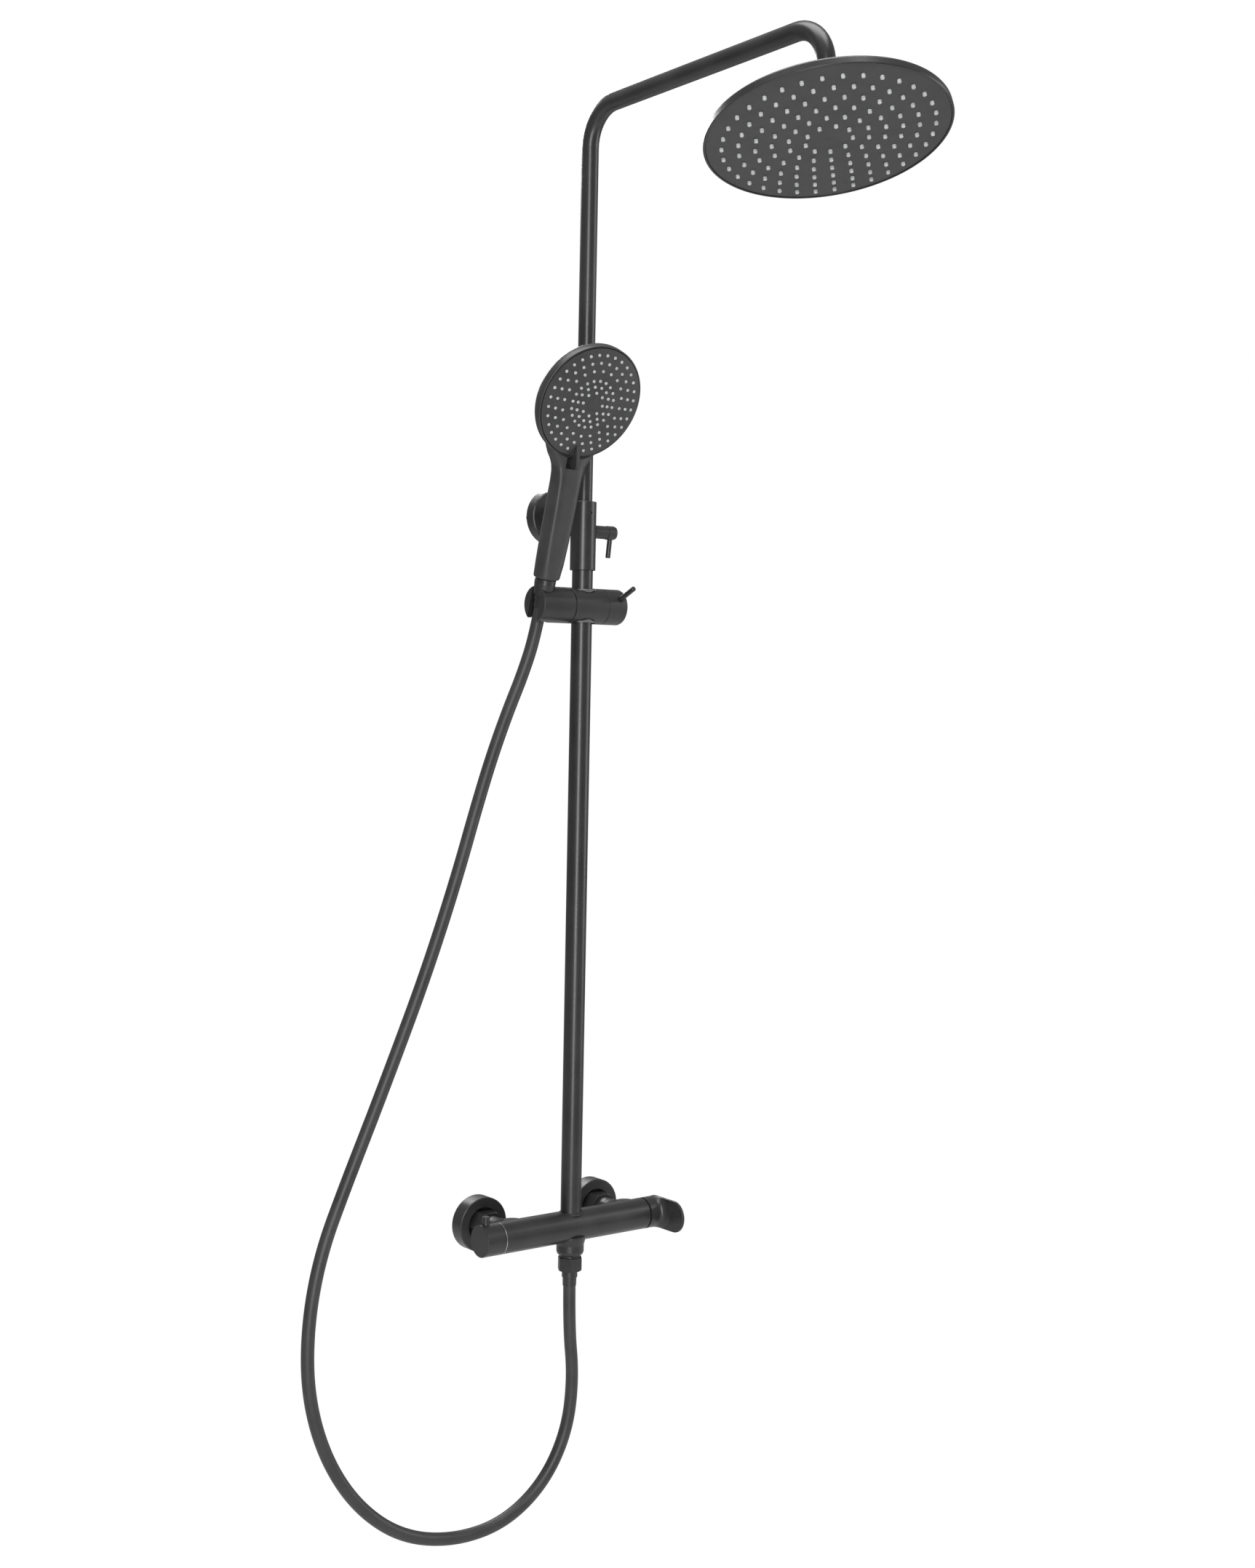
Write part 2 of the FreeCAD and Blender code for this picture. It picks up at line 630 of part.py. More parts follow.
ball_y = -gap - reach
ball_r = dim("ball_r")
stud = turned(
    [(0, 8.0), (4.5, 7.0), (4.5, 16.4), (11.0, 17.0), (12.0, 18.0), (12.0, 32.2),
     (11.4, 32.8), (upper_r + 0.03, 32.8), (upper_r + 0.03, 20.0), (0, 20.0)],
    (0, ball_y, ball_z))
node("ball_stud", cut(fuse(stud, sphere(ball_r, (0, ball_y, ball_z))),
                      cylinder(3.0, 40.0, (0, ball_y, ball_z - 12))))

tilt = dim("head_tilt")
side = dim("head_side")
head_axis = Vector(math.sin(math.radians(side.value)),
                   math.sin(math.radians(tilt.value)) * math.cos(math.radians(side.value)),
                   math.cos(math.radians(tilt.value)) * math.cos(math.radians(side.value)))
head_rotation = Rotation(Vector(1, 0, 0), Vector(0, 1, 0), head_axis, "ZXY")


def on_head(label, obj):
    """Place a head part built about the local Z axis with the ball centre at 0."""
    holder = doc.addObject("Part::Compound", "OnHead")
    holder.Links = [obj]
    base = (q(0), ball_y, ball_z)
    holder.Placement = Placement(Vector(*[number.value for number in base]), head_rotation)
    holder.setExpression("Placement.Base.y", ball_y.text)
    holder.setExpression("Placement.Base.z", ball_z.text)
    return node(label, holder)


def ball_cup(radius, heights):
    """Profile corners that follow the ball surface at the given heights."""
    return [(math.sqrt(radius * radius - z * z), z) for z in heights]


on_head("ball_seat", turned(
    [(5.0, -8.6), (5.0, -9.6), (10.9, -9.6), (10.9, -0.6)]
    + ball_cup(9.6, (-0.6, -2.0, -3.4, -4.8, -6.2, -7.4, -8.19))))
on_head("ball_retainer", turned(
    [(13.06, -8.4), (14.6, -8.4), (15.0, -8.0), (15.0, 5.6), (13.2, 8.4), (11.2, 8.4)]
    + ball_cup(9.6, (4.4, 3.3, 2.2, 1.1, 0.0)) + [(9.6, -0.3), (13.06, -0.3)]))

drop = dim("head_drop")
sag = dim("head_sag")
ring_r = dim("nozzle_ring_r")
head_r = dim("head_r")
edge_r = head_r - 2.5
FACE_STEPS = (1.0, 0.9, 0.8, 0.7, 0.6, 0.5, 0.38, 0.24, 0.0)


def face_height(radius):
    """Height of the domed face below the ball centre at a radius."""
    ratio = radius / ring_r
    return sag * ratio * ratio * ratio - drop


def dome(lift, outward=True):
    """Corners along the face curve, raised by lift."""
    radii = [edge_r * step for step in FACE_STEPS]
    corners = [(radius, face_height(radius) + lift) for radius in radii]
    return corners if outward else corners[::-1]


rim_low = face_height(edge_r) - 0.7
on_head("head_shell", turned(
    [(11.0, -0.9), (13.0, -0.9), (13.0, -9.6), (16.0, -10.4), (40.0, -11.6), (84.0, -12.9),
     (head_r - 3.4, -13.9), (head_r - 1.3, -14.5), (head_r - 0.5, -15.9),
     (head_r, rim_low + 0.8), (head_r - 0.8, rim_low), (edge_r + 0.35, rim_low),
     (edge_r + 0.35, -17.4), (84.0, -14.9), (40.0, -13.6), (9.0, -12.6), (5.0, -12.6),
     (5.0, -10.0), (11.0, -10.0)]))

RING_COUNTS = (9, 14, 19, 24, 29, 34)
RING_RATIOS = (0.2230, 0.3783, 0.5338, 0.6892, 0.8449, 1.0)
HEAD_PHASE = 116.7
HEAD_SHARE = 0.203
nozzle_r = dim("nozzle_r")
face_plate = turned(dome(0) + dome(2.0, False))
for count, ratio in zip(RING_COUNTS, RING_RATIOS):
    radius = ring_r * ratio
    phase = HEAD_PHASE + HEAD_SHARE * 360.0 / count
    start = face_height(radius) - 3
    add_ring(face_plate, radius, count, phase, nozzle_r + 0.15, start, 10.0, True)
on_head("head_face", face_plate)
mat_steps = [(radius, height) for radius, height in dome(2.05) if q(radius).value < edge_r.value - 5]
nozzle_mat = turned(mat_steps + [(radius, height + 1.6) for radius, height in mat_steps[::-1]])
for count, ratio in zip(RING_COUNTS, RING_RATIOS):
    radius = ring_r * ratio
    phase = HEAD_PHASE + HEAD_SHARE * 360.0 / count
    add_ring(nozzle_mat, radius, count, phase, nozzle_r, face_height(radius) - 2.0, 4.8, False)
on_head("head_nozzles", nozzle_mat)

# ------------------------------------------------------------------- slider

slider_r = dim("slider_r")
slider_z = dim("slider_height")
slider_left = dim("slider_left")
slider_right = dim("slider_right")
fork_x = dim("fork_x")
fork_tilt = dim("fork_tilt")
barrel_left = -19.6
barrel_right = 23.4
slider_barrel = turned(
    [(0, barrel_left), (slider_r - 0.3, barrel_left), (slider_r, barrel_left + 0.3),
     (slider_r, barrel_right - 0.3), (slider_r - 0.3, barrel_right), (0, barrel_right)],
    (0, -gap, slider_z), ALONG_X)
pipe_way = turned(
    [(0, -22), (14.2, -22), (14.2, -15.9), (12.42, -15.9), (12.42, 15.9), (14.2, 15.9),
     (14.2, 22), (0, 22)], (0, -gap, slider_z))
spindle_way = cylinder(4.0, 20.0, (10.0, -gap, slider_z), ALONG_X)
pivot_way = cylinder(3.05, 9.0, (-20.0, -gap, slider_z), ALONG_X)
node("slider_body", cut(slider_barrel, pipe_way, spindle_way, pivot_way))
liner = turned(
    [(lower_r + 0.06, -17.4), (14.0, -17.4), (14.0, -16.0), (12.36, -16.0), (12.36, 16.0),
     (14.0, 16.0), (14.0, 17.4), (lower_r + 0.06, 17.4)], (0, -gap, slider_z))
node("slider_liner", cut(liner, cylinder(4.0, 12.0, (5.0, -gap, slider_z), ALONG_X)))
node("clamp_shoe", common(
    cut(cylinder(3.9, 14.0, (5.0, -gap, slider_z), ALONG_X),
        cylinder(lower_r + 0.05, 20.0, (0, -gap, slider_z - 10))),
    box((5.5, 20, 20), (8.0, -gap - 10, slider_z - 10))))
node("slider_spindle", turned(
    [(0, 0), (3.4, 0), (3.9, 0.5), (3.9, 27.6), (0, 27.6)], (13.8, -gap, slider_z), ALONG_X))
knob_len = slider_right - (barrel_right + 0.4)
grip_rise = q(26.0)
grip_turn = ((1, 0, 0), 90 - grip_rise)
knob_turned = turned(
    [(0, 18.0), (3.94, 18.0), (3.94, 0), (slider_r - 0.3, 0), (slider_r, 0.3),
     (slider_r, knob_len - 1.8), (slider_r - 0.6, knob_len - 0.5), (slider_r - 2.0, knob_len),
     (0, knob_len)], (barrel_right + 0.4, -gap, slider_z), ALONG_X)
lever_x = 38.5
lever_seat = turned(
    [(0, 8.3), (lever_r + 0.02, 8.3), (lever_r + 0.02, slider_r - 1.2),
     (lever_r + 0.9, slider_r - 1.2), (lever_r + 0.9, slider_r + 3), (0, slider_r + 3)],
    (lever_x, -gap, slider_z), grip_turn)
node("slider_knob", cut(knob_turned, lever_seat))
node("slider_lever", turned(
    [(0, 8.4), (lever_r, 8.4), (lever_r, 43.3), (lever_r - 0.5, 43.8), (1.0, 43.8), (0, 43.0)],
    (lever_x, -gap, slider_z), grip_turn))

fork_turn = ((1, 0, 0), fork_tilt)
fork_barrel = turned(
    [(0, slider_left), (slider_r - 0.8, slider_left), (slider_r, slider_left + 0.8),
     (slider_r, -20.9), (slider_r - 0.3, -20.6), (0, -20.6)], (0, 0, 0), ALONG_X)
cone_seat = turned(
    [(0, -25), (9.3, -25), (9.3, 9.7), (9.97, 10.4), (10.97, 20.5), (11.5, 25), (0, 25)],
    (fork_x, 0, 0))
mouth = box((30, 17.0, 60), (fork_x - 30, -8.5, -30))
bolt_way = cylinder(3.1, 30.0, (-44.0, 0, 0), ALONG_X)
head_way = cylinder(5.6, 10.0, (-46.0, 0, 0), ALONG_X)
node("slider_fork", moved_with(cut(fork_barrel, cone_seat, mouth, bolt_way, head_way),
                               (0, -gap, slider_z), fork_turn))
node("fork_washer", turned(
    [(3.2, -20.55), (15.5, -20.55), (15.5, -19.65), (3.2, -19.65)], (0, -gap, slider_z),
    ALONG_X))
node("fork_bolt", turned(
    [(0, -40.6), (2.3, -40.6), (2.3, -43.0), (5.4, -43.0), (5.4, -36.1), (3.0, -36.1),
     (3.0, -12.6), (0, -12.6)], (0, -gap, slider_z), ALONG_X))

# ----------------------------------------------- hand shower and hose ends

seat_base = (fork_x, -gap, slider_z)


def on_seat(label, obj):
    """Place a part built about the tilted hand-shower axis."""
    return node(label, moved_with(obj, seat_base, fork_turn))


on_seat("cone_nut", turned(
    [(6.9, 10.4), (9.6, 10.4), (9.9, 10.7), (10.9, 20.5), (11.1, 21.5), (11.1, 26.8),
     (10.8, 27.2), (9.95, 27.2), (9.95, 17.0), (9.2, 16.2), (9.2, 11.6), (6.9, 11.6)]))
on_seat("upper_ferrule", turned(
    [(3.0, 13.0), (8.9, 13.0), (8.9, 11.7), (6.8, 11.7), (6.8, 10.2), (8.2, 10.2), (8.2, 4.7),
     (7.9, 4.5), (7.9, 4.3), (7.6, 4.1), (7.4, -3.2), (6.76, -3.2), (6.76, 7.6), (4.4, 7.6),
     (4.4, -6.0), (3.0, -6.0)]))
on_seat("upper_washer", turned([(4.0, 13.05), (8.9, 13.05), (8.9, 15.0), (4.0, 15.0)]))
on_seat("hand_nipple", turned(
    [(5.0, 15.05), (8.6, 15.05), (8.6, 17.2), (9.9, 17.6), (9.9, 26.6), (9.6, 27.0),
     (9.6, 40.0), (5.0, 40.0)]))

hand_r = dim("hand_r")
hand_base = (fork_x, dim("hand_y"), dim("hand_z"))
hand_turn = ((1, 0, 0), dim("hand_tilt"))
hand_sag = dim("hand_sag")
hand_edge = hand_r - 2.2
HAND_STEPS = (1.0, 0.88, 0.76, 0.63, 0.5, 0.36, 0.0)


def hand_height(radius):
    ratio = radius / 50.0
    return -hand_sag * ratio * ratio


def hand_dome(lift, edge, outward=True):
    corners = [(edge * step, hand_height(edge * step) + lift) for step in HAND_STEPS]
    return corners if outward else corners[::-1]


lip = hand_height(hand_edge) - 0.3
cup = turned(
    [(0, -25.7), (24.0, -25.7), (40.0, -23.4), (52.0, -20.1), (57.4, -17.7),
     (59.2, lip - 11.1), (hand_r, lip - 8.5), (hand_r, lip - 0.9), (hand_r - 0.7, lip),
     (hand_edge + 0.6, lip), (hand_edge + 0.6, lip - 7.5), (hand_edge - 1.5, lip - 9.0),
     (50.0, -17.3), (40.0, -20.1), (24.0, -22.7), (0, -22.7)], hand_base, hand_turn)


def slab(segments, direction, start, width):
    """A flat outline of lines and arcs, pushed out to a slab of the given width."""
    outline = doc.addObject("Part::Feature", "Outline")
    outline.Shape = Part.Wire(segments)
    outline.Placement = Placement(start, Rotation())
    obj = doc.addObject("Part::Extrusion", "Slab")
    obj.Base = outline
    obj.DirMode = "Custom"
    obj.Dir = direction
    obj.LengthFwd = width
    obj.Solid = True
    return obj


def line(*ends):
    return Part.makeLine(*[Vector(*end) for end in ends])


def arc(*three):
    return Part.Arc(*[Vector(*point) for point in three]).toShape()


# The neck: its outline from the front widens from grip to head, its side view thins.
grip_top, flare_mid, flare_end, neck_end = 110, 142, 166, 176
half_grip, half_mid, half_head = 13.0, 17.0, 27.0
neck_front = slab([
    line((-half_grip, 0, grip_top), (half_grip, 0, grip_top)),
    arc((half_grip, 0, grip_top), (half_mid, 0, flare_mid), (half_head, 0, flare_end)),
    line((half_head, 0, flare_end), (half_head, 0, neck_end)),
    line((half_head, 0, neck_end), (-half_head, 0, neck_end)),
    line((-half_head, 0, neck_end), (-half_head, 0, flare_end)),
    arc((-half_head, 0, flare_end), (-half_mid, 0, flare_mid), (-half_grip, 0, grip_top)),
], Vector(0, 1, 0), Vector(0, -20, 0), 40)
neck_side = slab([
    line((0, 12.6, grip_top), (0, -12.6, grip_top)),
    arc((0, -12.6, grip_top), (0, -8.2, flare_mid), (0, -4.0, neck_end)),
    line((0, -4.0, neck_end), (0, -1.8, neck_end)),
    arc((0, -1.8, neck_end), (0, 9.2, flare_mid), (0, 12.6, grip_top)),
], Vector(1, 0, 0), Vector(-40, 0, 0), 80)
grip = turned([(0, 28), (13.6, 28), (13.9, 60), (14.1, 100), (13.6, 118), (12.2, 130), (0, 130)])
waterway = turned(
    [(0, 26), (9.65, 26), (9.65, 40.2), (7.5, 40.2), (7.5, 118), (3.2, 122), (3.2, 150),
     (0, 150)])
handle = moved_with(cut(fuse(common(neck_front, neck_side), grip), waterway), seat_base, fork_turn)
wall_middle = turned(
    [(0, 6), (59.2, 6), (59.2, -13.5), (57.4, -16.1), (51.5, -18.7), (40.0, -21.7),
     (24.0, -24.2), (0, -24.2)], hand_base, hand_turn)
window = moved_with(box((10.6, 14.0, 19.0), (-8.6, -71.0, -13.0)), hand_base, hand_turn)
node("hand_shell", cut(fuse(cup, cut(handle, wall_middle)), window))

HAND_COUNTS = (8, 14, 20, 20, 26, 32)
HAND_RATIOS = (0.239, 0.362, 0.485, 0.683, 0.842, 1.0)
HAND_PHASE = -2.0
hand_ring = dim("hand_ring_r")
hand_nozzle_r = dim("hand_nozzle_r")


def add_hand_rings(body, hole_r, lift, depth, pocket):
    """Six rings of nozzles; the outermost leaves out the one behind the mode lever."""
    for count, ratio in zip(HAND_COUNTS, HAND_RATIOS):
        radius = hand_ring * ratio
        start = hand_height(radius) + lift
        if ratio < 1.0:
            add_ring(body, radius, count, HAND_PHASE, hole_r, start, depth, pocket)
        else:
            step = 360.0 / count
            pattern = add_ring(body, radius, count - 1, HAND_PHASE - 7 * step, hole_r, start,
                               depth, pocket)
            pattern.Angle = 360.0 - 2 * step


hand_plate = turned(hand_dome(0, hand_edge) + [
    (radius, height - 2.2) for radius, height in hand_dome(0, hand_edge, False)])
add_hand_rings(hand_plate, hand_nozzle_r + 0.1, -5, 10.0, True)
node("hand_face", moved_with(cut(hand_plate, cylinder(6.1, 10, (0, 0, -5))), hand_base, hand_turn))
mat_edge = hand_edge - 3.0
hand_mat = turned([(radius, height - 2.25) for radius, height in hand_dome(0, mat_edge)] + [
    (radius, height - 3.6) for radius, height in hand_dome(0, mat_edge, False)])
add_hand_rings(hand_mat, hand_nozzle_r, -2.9, 3.9, False)
node("hand_nozzles", moved_with(cut(hand_mat, cylinder(4.0, 10, (0, 0, -6))), hand_base, hand_turn))
node("hand_cap", turned(
    [(0, -5.0), (3.9, -5.0), (3.9, -2.2), (6.0, -2.2), (6.0, -0.15), (5.6, 0.05), (0, 0.15)],
    hand_base, hand_turn))
mode_disc = cylinder(24.0, 2.2, (0, 0, -9.6))
mode_arm = box((3.3, 40.0, 2.2), (-2.0, -60.5, -9.6))
mode_post = box((2.6, 5.5, 13.0), (-1.3, -65.5, -9.6))
mode_fin = box((2.6, 24.0, 3.4), (-1.3, -67.5, 0.0))
mode_tab = box((2.6, 4.0, 5.0), (-1.3, -67.5, -4.0))
node("mode_lever", moved_with(fuse(mode_disc, mode_arm, mode_post, mode_fin, mode_tab),
                              hand_base, hand_turn))

# ------------------------------------------------------- outlet and hose end

node("outlet_nipple", turned(
    [(5.5, -18.0), (8.55, -18.0), (8.55, -31.25), (11.2, -31.25), (11.2, -33.0),
     (half_thread, -33.0), (half_thread, -42.4), (9.9, -43.0), (5.5, -43.0)], (0, -gap, 0)))
nut_blank = hexagon(24.0, 14.5, (0, -gap, -47.7))
nut_rounding = turned(
    [(0, -47.8), (12.2, -47.8), (13.9, -46.4), (13.9, -34.6), (12.4, -33.1), (0, -33.1)],
    (0, -gap, 0))
node("hose_nut", cut(common(nut_blank, nut_rounding),
                     cylinder(half_thread + 0.05, 14.0, (0, -gap, -46.2)),
                     cylinder(7.0, 8.0, (0, -gap, -50.0))))
node("lower_washer", turned(
    [(4.0, -43.05), (10.3, -43.05), (10.3, -44.85), (4.0, -44.85)], (0, -gap, 0)))
node("lower_ferrule", turned(
    [(3.0, -44.9), (10.3, -44.9), (10.3, -46.1), (6.9, -46.1), (6.9, -47.8), (8.0, -47.8),
     (8.4, -48.2), (8.4, -54.9), (7.5, -55.3), (7.3, -64.3), (6.76, -64.3), (6.76, -49.0),
     (4.4, -49.0), (4.4, -62.0), (3.0, -62.0)], (0, -gap, 0)))

# The hose runs from the hand shower down past the mixer and up to the outlet.
HOSE_ROUTE = [
    (-53.0, -73.09, 668.4), (-53.0, -61.65, 629.03), (-63.0, -55.0, 589.0),
    (-79.5, -51.0, 547.5),
    (-99.0, -51.0, 499.5), (-117.5, -51.5, 446.5), (-136.0, -52.0, 389.5),
    (-157.0, -52.0, 330.0), (-181.0, -52.0, 268.0), (-208.0, -52.0, 205.0),
    (-237.0, -52.5, 140.0), (-267.0, -53.0, 75.0), (-295.5, -54.0, 9.5),
    (-309.5, -55.0, -59.0), (-309.0, -56.0, -129.0), (-289.0, -57.0, -196.0),
    (-251.5, -58.0, -254.0), (-199.5, -59.5, -296.0), (-137.0, -61.0, -314.0),
    (-75.5, -63.0, -309.5), (-26.0, -65.0, -277.5), (3.0, -67.0, -226.5),
    (9.0, -69.0, -166.5), (0.0, -71.0, -107.0), (0.0, -71.0, -49.2),
]


def hose_wire(points):
    """Straight runs joined by tangent arcs; prints each arc radius."""
    corners = [Vector(*point) for point in points]
    edges = []
    cursor = corners[0]
    for before, here, after in zip(corners, corners[1:], corners[2:]):
        back = before - here
        ahead = after - here
        half = (math.pi - back.getAngle(ahead)) / 2
        shorter = min(back.Length, ahead.Length)
        set_back = 0.45 * shorter
        radius = set_back / math.tan(half)
        start = here + back.normalize() * set_back
        stop = here + ahead.normalize() * set_back
        bisector = (back + ahead).normalize()
        middle = here + bisector * (radius / math.cos(half) - radius)
        edges.append(Part.makeLine(cursor, start))
        edges.append(Part.Arc(start, middle, stop).toShape())
        print("hose arc radius %.1f mm, turn %.1f deg" % (radius, math.degrees(2 * half)))
        cursor = stop
    edges.append(Part.makeLine(cursor, corners[-1]))
    return Part.Wire(edges)


hose_path = doc.addObject("Part::Feature", "HosePath")
hose_path.Shape = hose_wire(HOSE_ROUTE)
hose_length = hose_path.Shape.Length
print("hose length %.1f mm" % hose_length)


def hose_solid(radius):
    start = Vector(*HOSE_ROUTE[0])
    heading = Vector(*HOSE_ROUTE[1]) - start
    ring = doc.addObject("Part::Circle", "HoseSection")
    ring.Radius = bind(ring, "Radius", radius)
    ring.Placement = Placement(start, Rotation(Vector(0, 0, 1), heading))
    sweep = doc.addObject("Part::Sweep", "HoseSweep")
    sweep.Sections = [ring]
    sweep.Spine = (hose_path, ["Edge%d" % (i + 1) for i in range(len(hose_path.Shape.Edges))])
    sweep.Solid = True
    sweep.Frenet = False
    return sweep


node("hose_tube", cut(hose_solid(dim("hose_r")), hose_solid(dim("hose_bore_r"))))

# ---------------------------------------------------------- check and export

doc.recompute()
problems = []
for obj in doc.Objects:
    states = [state for state in obj.State if state in ("Invalid", "Error")]
    if states:
        problems.append("%s (%s): %s" % (obj.Name, obj.Label, states))
for label, obj in NODES.items():
    if obj.Shape.isNull() or not obj.Shape.isValid() or not obj.Shape.Solids:
        problems.append("%s: bad shape" % label)
if problems:
    raise RuntimeError("; ".join(problems))

hose = NODES["hose_tube"].Shape
section = math.pi * (DIMENSIONS["hose_r"] ** 2 - DIMENSIONS["hose_bore_r"] ** 2)
print("hose volume %.0f mm3, section x length %.0f mm3" % (hose.Volume, section * hose_length))

os.makedirs("parts", exist_ok=True)
for label, obj in NODES.items():
    obj.Shape.exportStep("parts/%s.step" % label)
    print("%-24s %3d solids  volume %10.1f" % (label, len(obj.Shape.Solids), obj.Shape.Volume))
print("nodes: %d" % len(NODES))
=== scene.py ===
"""Looks of the wall-mounted rainfall shower column.

Every length is in metres, in the model's own frame: X along the wall, Y into the
wall, Z up, with the origin midway between the two water inlets.
"""

import json
import math

import bmesh
import bpy
from mathutils import Matrix, Vector


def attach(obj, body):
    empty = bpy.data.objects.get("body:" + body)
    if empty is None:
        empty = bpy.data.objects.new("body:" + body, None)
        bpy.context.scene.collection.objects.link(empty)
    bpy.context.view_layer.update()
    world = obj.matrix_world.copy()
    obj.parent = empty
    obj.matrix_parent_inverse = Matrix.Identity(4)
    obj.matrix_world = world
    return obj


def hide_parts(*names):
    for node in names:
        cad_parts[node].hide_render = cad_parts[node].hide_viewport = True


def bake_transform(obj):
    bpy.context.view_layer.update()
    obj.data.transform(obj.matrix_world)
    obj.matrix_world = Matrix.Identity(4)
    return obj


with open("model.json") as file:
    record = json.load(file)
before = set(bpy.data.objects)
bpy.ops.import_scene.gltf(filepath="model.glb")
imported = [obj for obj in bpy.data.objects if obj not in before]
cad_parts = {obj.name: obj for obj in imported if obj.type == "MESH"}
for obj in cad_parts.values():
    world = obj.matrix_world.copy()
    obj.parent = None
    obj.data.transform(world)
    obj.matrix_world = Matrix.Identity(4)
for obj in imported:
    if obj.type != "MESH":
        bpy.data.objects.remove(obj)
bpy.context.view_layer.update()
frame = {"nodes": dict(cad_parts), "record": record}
nodes = frame["nodes"]
MM = 0.001

# ------------------------------------------------------------------ camera

CAMERA_PLACE = Vector((-1.3398, -1.8649, 0.5809))
CAMERA_YAW = math.radians(38.08)
CAMERA_PITCH = math.radians(-2.73)
CAMERA_ROLL = math.radians(-1.12)
CAMERA_LENS = 48.57
SENSOR = 36.0


def make_camera():
    """The camera stands left of the column, at mid height, looking half along the wall."""
    sin_yaw, cos_yaw = math.sin(CAMERA_YAW), math.cos(CAMERA_YAW)
    forward = Vector((sin_yaw * math.cos(CAMERA_PITCH), cos_yaw * math.cos(CAMERA_PITCH),
                      math.sin(CAMERA_PITCH)))
    level = Vector((cos_yaw, -sin_yaw, 0))
    down = forward.cross(level)
    right = math.cos(CAMERA_ROLL) * level + math.sin(CAMERA_ROLL) * down
    under = math.cos(CAMERA_ROLL) * down - math.sin(CAMERA_ROLL) * level
    data = bpy.data.cameras.new("camera")
    data.lens = CAMERA_LENS
    data.sensor_width = SENSOR
    data.clip_start = 0.05
    data.clip_end = 100
    camera = bpy.data.objects.new("camera", data)
    turn = Matrix((right, -under, -forward)).transposed()
    camera.matrix_world = Matrix.Translation(CAMERA_PLACE) @ turn.to_4x4()
    bpy.context.scene.collection.objects.link(camera)
    bpy.context.scene.camera = camera


make_camera()

# --------------------------------------------------------------- materials


class Nodes:
    """A small helper that adds shader nodes to one material and joins them."""

    def __init__(self, name):
        self.material = bpy.data.materials.new(name)
        self.material.use_nodes = True
        self.tree = self.material.node_tree
        self.tree.nodes.clear()
        self.output = self.add("ShaderNodeOutputMaterial")
        self.shader = self.add("ShaderNodeBsdfPrincipled")
        self.join(self.shader, "BSDF", self.output, "Surface")
        self.place = self.add("ShaderNodeTexCoord")

    def add(self, kind, **values):
        made = self.tree.nodes.new(kind)
        for name, value in values.items():
            if name in made.inputs:
                made.inputs[name].default_value = value
            else:
                setattr(made, name, value)
        return made

    def join(self, source, out, target, into):
        self.tree.links.new(source.outputs[out], target.inputs[into])

    def noise(self, scale, detail=4.0, roughness=0.55):
        made = self.add("ShaderNodeTexNoise", Scale=scale, Detail=detail, Roughness=roughness)
        self.join(self.place, "Object", made, "Vector")
        return made

    def colours(self, source, out, dark, light, low=0.35, high=0.65):
        ramp = self.add("ShaderNodeValToRGB")
        ramp.color_ramp.elements[0].position = low
        ramp.color_ramp.elements[0].color = (*dark, 1)
        ramp.color_ramp.elements[1].position = high
        ramp.color_ramp.elements[1].color = (*light, 1)
        self.join(source, out, ramp, "Fac")
        self.join(ramp, "Color", self.shader, "Base Color")
        return ramp

    def roughness(self, source, out, low, high):
        spread = self.add("ShaderNodeMapRange")
        spread.inputs["To Min"].default_value = low
        spread.inputs["To Max"].default_value = high
        self.join(source, out, spread, "Value")
        self.join(spread, "Result", self.shader, "Roughness")

    def bump(self, source, out, strength, depth, before=None):
        made = self.add("ShaderNodeBump", Strength=strength, Distance=depth)
        self.join(source, out, made, "Height")
        if before is not None:
            self.join(before, "Normal", made, "Normal")
        return made

    def soft_edges(self, radius):
        return self.add("ShaderNodeBevel", samples=4, Radius=radius)

    def finish(self, normal):
        self.join(normal, "Normal", self.shader, "Normal")
        return self.material


def powder_coat():
    """Matte black powder coat: a fine pebbled film, a little uneven in gloss and tone."""
    made = Nodes("powder_coat")
    grain = made.noise(1500.0, 3.0, 0.6)
    cloud = made.noise(22.0, 5.0, 0.6)
    made.colours(cloud, "Fac", (0.017, 0.017, 0.0175), (0.025, 0.025, 0.0255))
    made.roughness(cloud, "Fac", 0.28, 0.37)
    made.shader.inputs["Specular IOR Level"].default_value = 0.55
    edges = made.soft_edges(0.0004)
    waves = made.bump(made.noise(140.0, 2.0), "Fac", 0.05, 0.0004, edges)
    return made.finish(made.bump(grain, "Fac", 0.22, 0.00006, waves))


def moulded_black():
    """Satin black moulded plastic with a fine spark-eroded texture."""
    made = Nodes("moulded_black")
    grain = made.noise(2600.0, 2.0, 0.7)
    cloud = made.noise(35.0, 4.0, 0.6)
    made.colours(cloud, "Fac", (0.030, 0.030, 0.031), (0.040, 0.040, 0.041))
    made.roughness(cloud, "Fac", 0.36, 0.46)
    edges = made.soft_edges(0.0003)
    return made.finish(made.bump(grain, "Fac", 0.3, 0.00004, edges))


def hose_cover():
    """Smooth black hose cover: satin, with faint lengthwise drag marks and dull patches."""
    made = Nodes("hose_cover")
    cloud = made.noise(30.0, 4.0, 0.6)
    made.colours(cloud, "Fac", (0.026, 0.026, 0.027), (0.037, 0.037, 0.038))
    made.roughness(cloud, "Fac", 0.38, 0.5)
    fine = made.noise(900.0, 2.0, 0.6)
    return made.finish(made.bump(fine, "Fac", 0.12, 0.00005))


